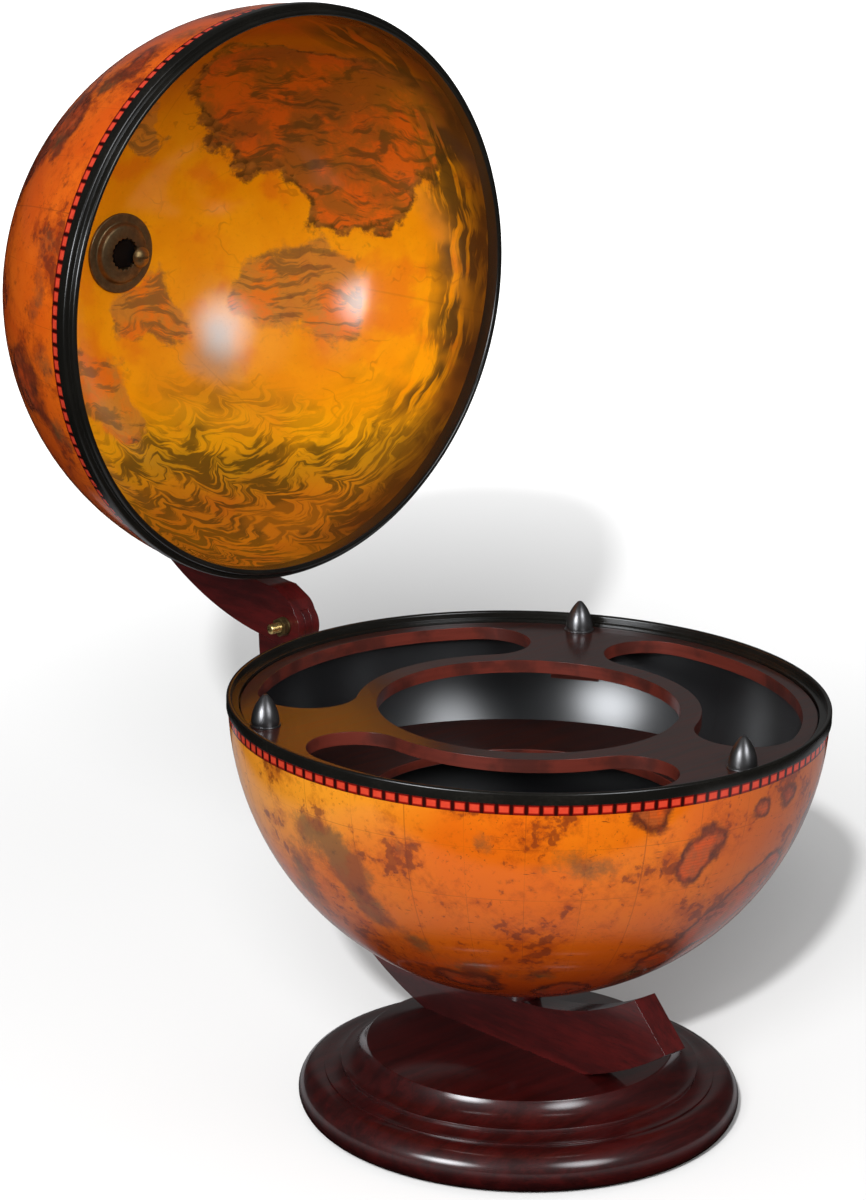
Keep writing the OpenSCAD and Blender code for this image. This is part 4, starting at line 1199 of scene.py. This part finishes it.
@dataclass
class HingeFittings:
    """The hinge bolt with its threaded tail, its nut and its washers."""
    axis_y: float = 194.0
    axis_z: float = 241.5
    bolt: float = 3.0
    face: float = 8.15
    washer: float = 1.2
    nut: float = 3.2
    tail: float = 7.0
    pitch: float = 1.0
    thread: float = 0.42
    chamfer: float = 0.8
    head: float = 6.0
    head_height: float = 3.6
    head_edge: float = 0.5
    head_arris: float = 0.2
    head_rim: float = 0.3

    def _bolt(self) -> bmesh.types.BMesh:
        """The bolt along Z, its domed head upwards and its thread below."""
        end = -(self.face + self.washer + self.nut + self.tail)
        top = self.face + self.washer
        outline = [Corner(0.0, end), Corner(self.bolt - self.chamfer, end),
                   Corner(self.bolt, end + self.chamfer)]
        turns = int((self.tail + self.nut) / self.pitch)
        for number in range(turns):
            start = end + self.chamfer + number * self.pitch
            outline.append(Corner(self.bolt, start + self.pitch * 0.3))
            outline.append(Corner(self.bolt - self.thread, start + self.pitch * 0.65))
            outline.append(Corner(self.bolt, start + self.pitch))
        side = self.head - self.head_arris
        outline += [Corner(self.bolt, top), Corner(side, top, self.head_arris),
                    Corner(side, top + self.head_edge)]
        sphere = (self.head ** 2 + self.head_height ** 2) / (2 * self.head_height)
        reach = math.asin((self.head - self.head_rim) / sphere)
        outline += [Corner(sphere * math.sin(a), top + self.head_height - sphere * (1 - math.cos(a)))
                    for a in (reach * i / 8 for i in range(7, 0, -1))]
        outline.append(Corner(0.0, top + self.head_height))
        return turned(outline, False, 64)

    def build(self, look: Finishes) -> None:
        """Turns the bolt and softens its nut and washers."""
        shape = stood(self._bolt(), (0.0, self.axis_y, self.axis_z), (0.0, 90.0, 0.0))
        finished_piece("hinge_bolt_turning", shape, look.brass, Body.STAND, ["hinge_bolt"], 60.0)
        nut = softened("hinge_nut", 0.4, 3, 25.0)
        keep_flats(finished_piece("hinge_nut_softened", nut, look.nut_brass, Body.STAND,
                                  ["hinge_nut"]))
        rings = softened("hinge_washers", 0.2, 2, 35.0)
        keep_flats(finished_piece("hinge_washer_rings", rings, look.nut_brass, Body.STAND,
                                  ["hinge_washers"]))


@dataclass(frozen=True)
class Lamp:
    """A flat round lamp: where it hangs and its width and height in metres, and its level."""
    name: str
    place: Point
    size: tuple[float, float]
    level: float


@dataclass
class Studio:
    """White floor, lamps, surroundings and the camera."""
    aim: Point = (0.03, 0.16, 0.30)
    floor_lamps: tuple[Lamp, ...] = (
        Lamp("floor_key", (-5.92, -4.71, 4.33), (0.30, 0.30), 1.80 * math.pi),
        Lamp("floor_soft", (-4.736, -3.768, 3.464), (3.0, 3.0), 1.30 * math.pi))
    object_lamps: tuple[Lamp, ...] = (
        Lamp("object_key", (-1.6, -3.9, 2.8), (3.0, 3.0), 0.57 * math.pi),
        Lamp("object_fill", (-4.4, -1.4, 2.4), (3.0, 3.0), 0.58 * math.pi))
    panels: tuple[Lamp, ...] = (
        Lamp("window_front", (-0.28, -1.95, 1.36), (1.5, 1.6), 12.0),
        Lamp("window_left", (-2.12, -0.30, 0.92), (1.6, 1.2), 25.0))
    panel_colour: Point = (0.93, 0.96, 1.0)
    sky_level: float = 0.55
    backdrop_way: Point = (0.68, 0.70, 0.22)
    floor_radius: float = 16.0
    floor_lift: float = 0.02
    floor_white: tuple[float, float] = (450.0, 2400.0)
    table_turn: float = -44.0
    table_x: tuple[float, float] = (-520.0, 760.0)
    table_y: tuple[float, float] = (-360.0, 620.0)
    # Inner and outer radius of the painted contact shade round the base, seen in reflections.
    contact_shade_hole: tuple[float, float] = (128.0, 185.0)
    eye: Point = (-1.4607, -1.4563, 0.8979)
    eye_right: Point = (0.72790, -0.68542, 0.01908)
    eye_up: Point = (0.17814, 0.21591, 0.96003)
    lens: float = 118.3
    sensor_height: float = 36.0

    def build(self) -> None:
        """Makes everything round the object."""
        floor = self._floor()
        self._world()
        only, others = self._rooms(floor)
        for lamps, room in ((self.floor_lamps, only), (self.object_lamps, others)):
            for lamp in lamps:
                self._lamp(lamp, lamp.level, room).visible_glossy = False
        for panel in self.panels:
            self._panel(panel)
        self._camera()

    @staticmethod
    def _rooms(floor: bpy.types.Object) -> tuple[bpy.types.Collection, bpy.types.Collection]:
        """What lamps light: the floor alone, and everything but the floor."""
        only = bpy.data.collections.new("lit_floor")
        only.objects.link(floor)
        others = bpy.data.collections.new("lit_object")
        others.objects.link(floor)
        others.collection_objects[0].light_linking.link_state = "EXCLUDE"
        return only, others

    def _floor(self) -> bpy.types.Object:
        """A wide round floor that takes the object's shadow, with a pale table top in reflections, darkened
        round the base as painted contact shade.
        """
        bm = bmesh.new()
        bmesh.ops.create_circle(bm, cap_ends=True, segments=96, radius=self.floor_radius)
        mesh = bpy.data.meshes.new("floor")
        bm.to_mesh(mesh)
        bm.free()
        made, tree = new_material("floor")
        mirrored, camera = tree.mirrored(), tree.seen()
        away = tree.distance(tree.place(), (0.0, 0.0, 0.0))
        x, y, _ = tree.split(tree.place((0.0, 0.0, 0.0), (0.0, 0.0, self.table_turn)))
        (left, right), (near, far) = self.table_x, self.table_y
        top = tree.smooth(y, near, near + 60.0) * tree.smooth(y, far, far - 60.0)
        top = top * tree.smooth(x, left, left + 100.0) * tree.smooth(x, right, right - 120.0)
        # Painted shade: the table goes dark round the base in reflections, where contact shade falls.
        top = top * tree.smooth(away, *self.contact_shade_hole)
        table = tree.mix(top, srgb(8, 8, 8), srgb(126, 126, 128))
        shade = tree.mix(mirrored, srgb(90, 90, 91), table)
        shade = tree.mix(camera, shade, srgb(188, 188, 188))
        lift = camera * (self.floor_lift + tree.smooth(away, *self.floor_white))
        diffuse = tree.sock("ShaderNodeBsdfDiffuse", {}, {"Color": shade})
        glow = tree.sock("ShaderNodeEmission", {}, {"Color": (1.0, 1.0, 1.0, 1.0), "Strength": lift})
        both = tree.sock("ShaderNodeAddShader", {}, {0: diffuse, 1: glow})
        tree.node("ShaderNodeOutputMaterial", {}, {"Surface": both})
        mesh.materials.append(made)
        floor = bpy.data.objects.new("floor", mesh)
        bpy.context.scene.collection.objects.link(floor)
        return floor

    def _world(self) -> None:
        """Even light all round, white to the camera and nearly dark in reflections."""
        world = bpy.data.worlds.new("studio")
        bpy.context.scene.world = world
        tree = Tree(world)
        way = tree.sock("ShaderNodeTexCoord", {}, {}, "Generated")
        height = tree.split(way)[2]
        behind = tree.dot(way, self.backdrop_way)
        room = 0.02 + tree.smooth(height, 0.3, 0.9) * 0.03 + tree.smooth(behind, 0.90, 0.99) * 0.12
        level = self.sky_level + tree.mirrored() * (room - self.sky_level)
        level = level + tree.seen() * (1.0 - level)
        light = tree.sock("ShaderNodeBackground", {}, {"Color": (1.0, 1.0, 1.0, 1.0), "Strength": level})
        tree.node("ShaderNodeOutputWorld", {}, {"Surface": light})
        world.cycles.sampling_method = "NONE"

    def _lamp(self, lamp: Lamp, lit: float, room: bpy.types.Collection | None) -> bpy.types.Object:
        """Hangs one flat lamp that faces the object.

        Args:
            lamp: its name, place and size.
            lit: light that falls on the object when square to the lamp.
            room: what the lamp lights, or None for everything.

        Returns:
            The lamp.
        """
        place, aim = Vector(lamp.place), Vector(self.aim)
        data = bpy.data.lights.new(lamp.name, "AREA")
        data.shape = "ELLIPSE"
        data.size, data.size_y = lamp.size
        data.energy = lit * math.pi * (place - aim).length_squared
        made = bpy.data.objects.new(lamp.name, data)
        bpy.context.scene.collection.objects.link(made)
        turn = (aim - place).to_track_quat("-Z", "Y").to_matrix().to_4x4()
        made.matrix_world = Matrix.Translation(place) @ turn
        made.visible_camera = False
        if room is not None:
            made.light_linking.receiver_collection = room
        return made

    def _panel(self, panel: Lamp) -> None:
        """A soft box that shows only as a highlight, brightest in its middle at its level times white."""
        area = math.pi / 4 * panel.size[0] * panel.size[1]
        away = (Vector(panel.place) - Vector(self.aim)).length_squared
        made = self._lamp(panel, panel.level * area / away, None)
        made.data.color = self.panel_colour
        made.visible_diffuse = False
        tree = Tree(made.data)
        x, y, _ = tree.split(tree.sock("ShaderNodeNewGeometry", {}, {}, "Parametric"))
        middle = tree.distance(tree.join(x, y, 0.0), (0.5, 0.5, 0.0))
        glow = tree.sock("ShaderNodeEmission", {}, {"Strength": tree.smooth(middle, 0.5, 0.05)})
        tree.node("ShaderNodeOutputLight", {}, {"Surface": glow})

    def _camera(self) -> None:
        """The camera of the photograph."""
        data = bpy.data.cameras.new("camera")
        data.sensor_fit = "VERTICAL"
        data.sensor_height = self.sensor_height
        data.lens = self.lens
        data.clip_end = 100.0
        right = Vector(self.eye_right).normalized()
        up = Vector(self.eye_up)
        up = (up - right * up.dot(right)).normalized()
        back = right.cross(up)
        camera = bpy.data.objects.new("camera", data)
        bpy.context.scene.collection.objects.link(camera)
        turn = Matrix((right, up, back)).transposed().to_4x4()
        camera.matrix_world = Matrix.Translation(Vector(self.eye)) @ turn
        bpy.context.scene.camera = camera
        bpy.context.scene.view_settings.view_transform = "Standard"


def main() -> None:
    """Builds the studio and each sub-assembly in order."""
    logging.basicConfig(level=logging.INFO, format="%(message)s")
    Studio().build()
    look = Finishes()
    assemblies = (TurnedBase(), CurvedArm("lower_arm", Body.STAND), CurvedArm("upper_arm", Body.LID),
                  HalfGlobes(), TrayDeck(), GuidePegs(), HingeFittings())
    for assembly in assemblies:
        assembly.build(look)


if __name__ == "__main__":
    main()
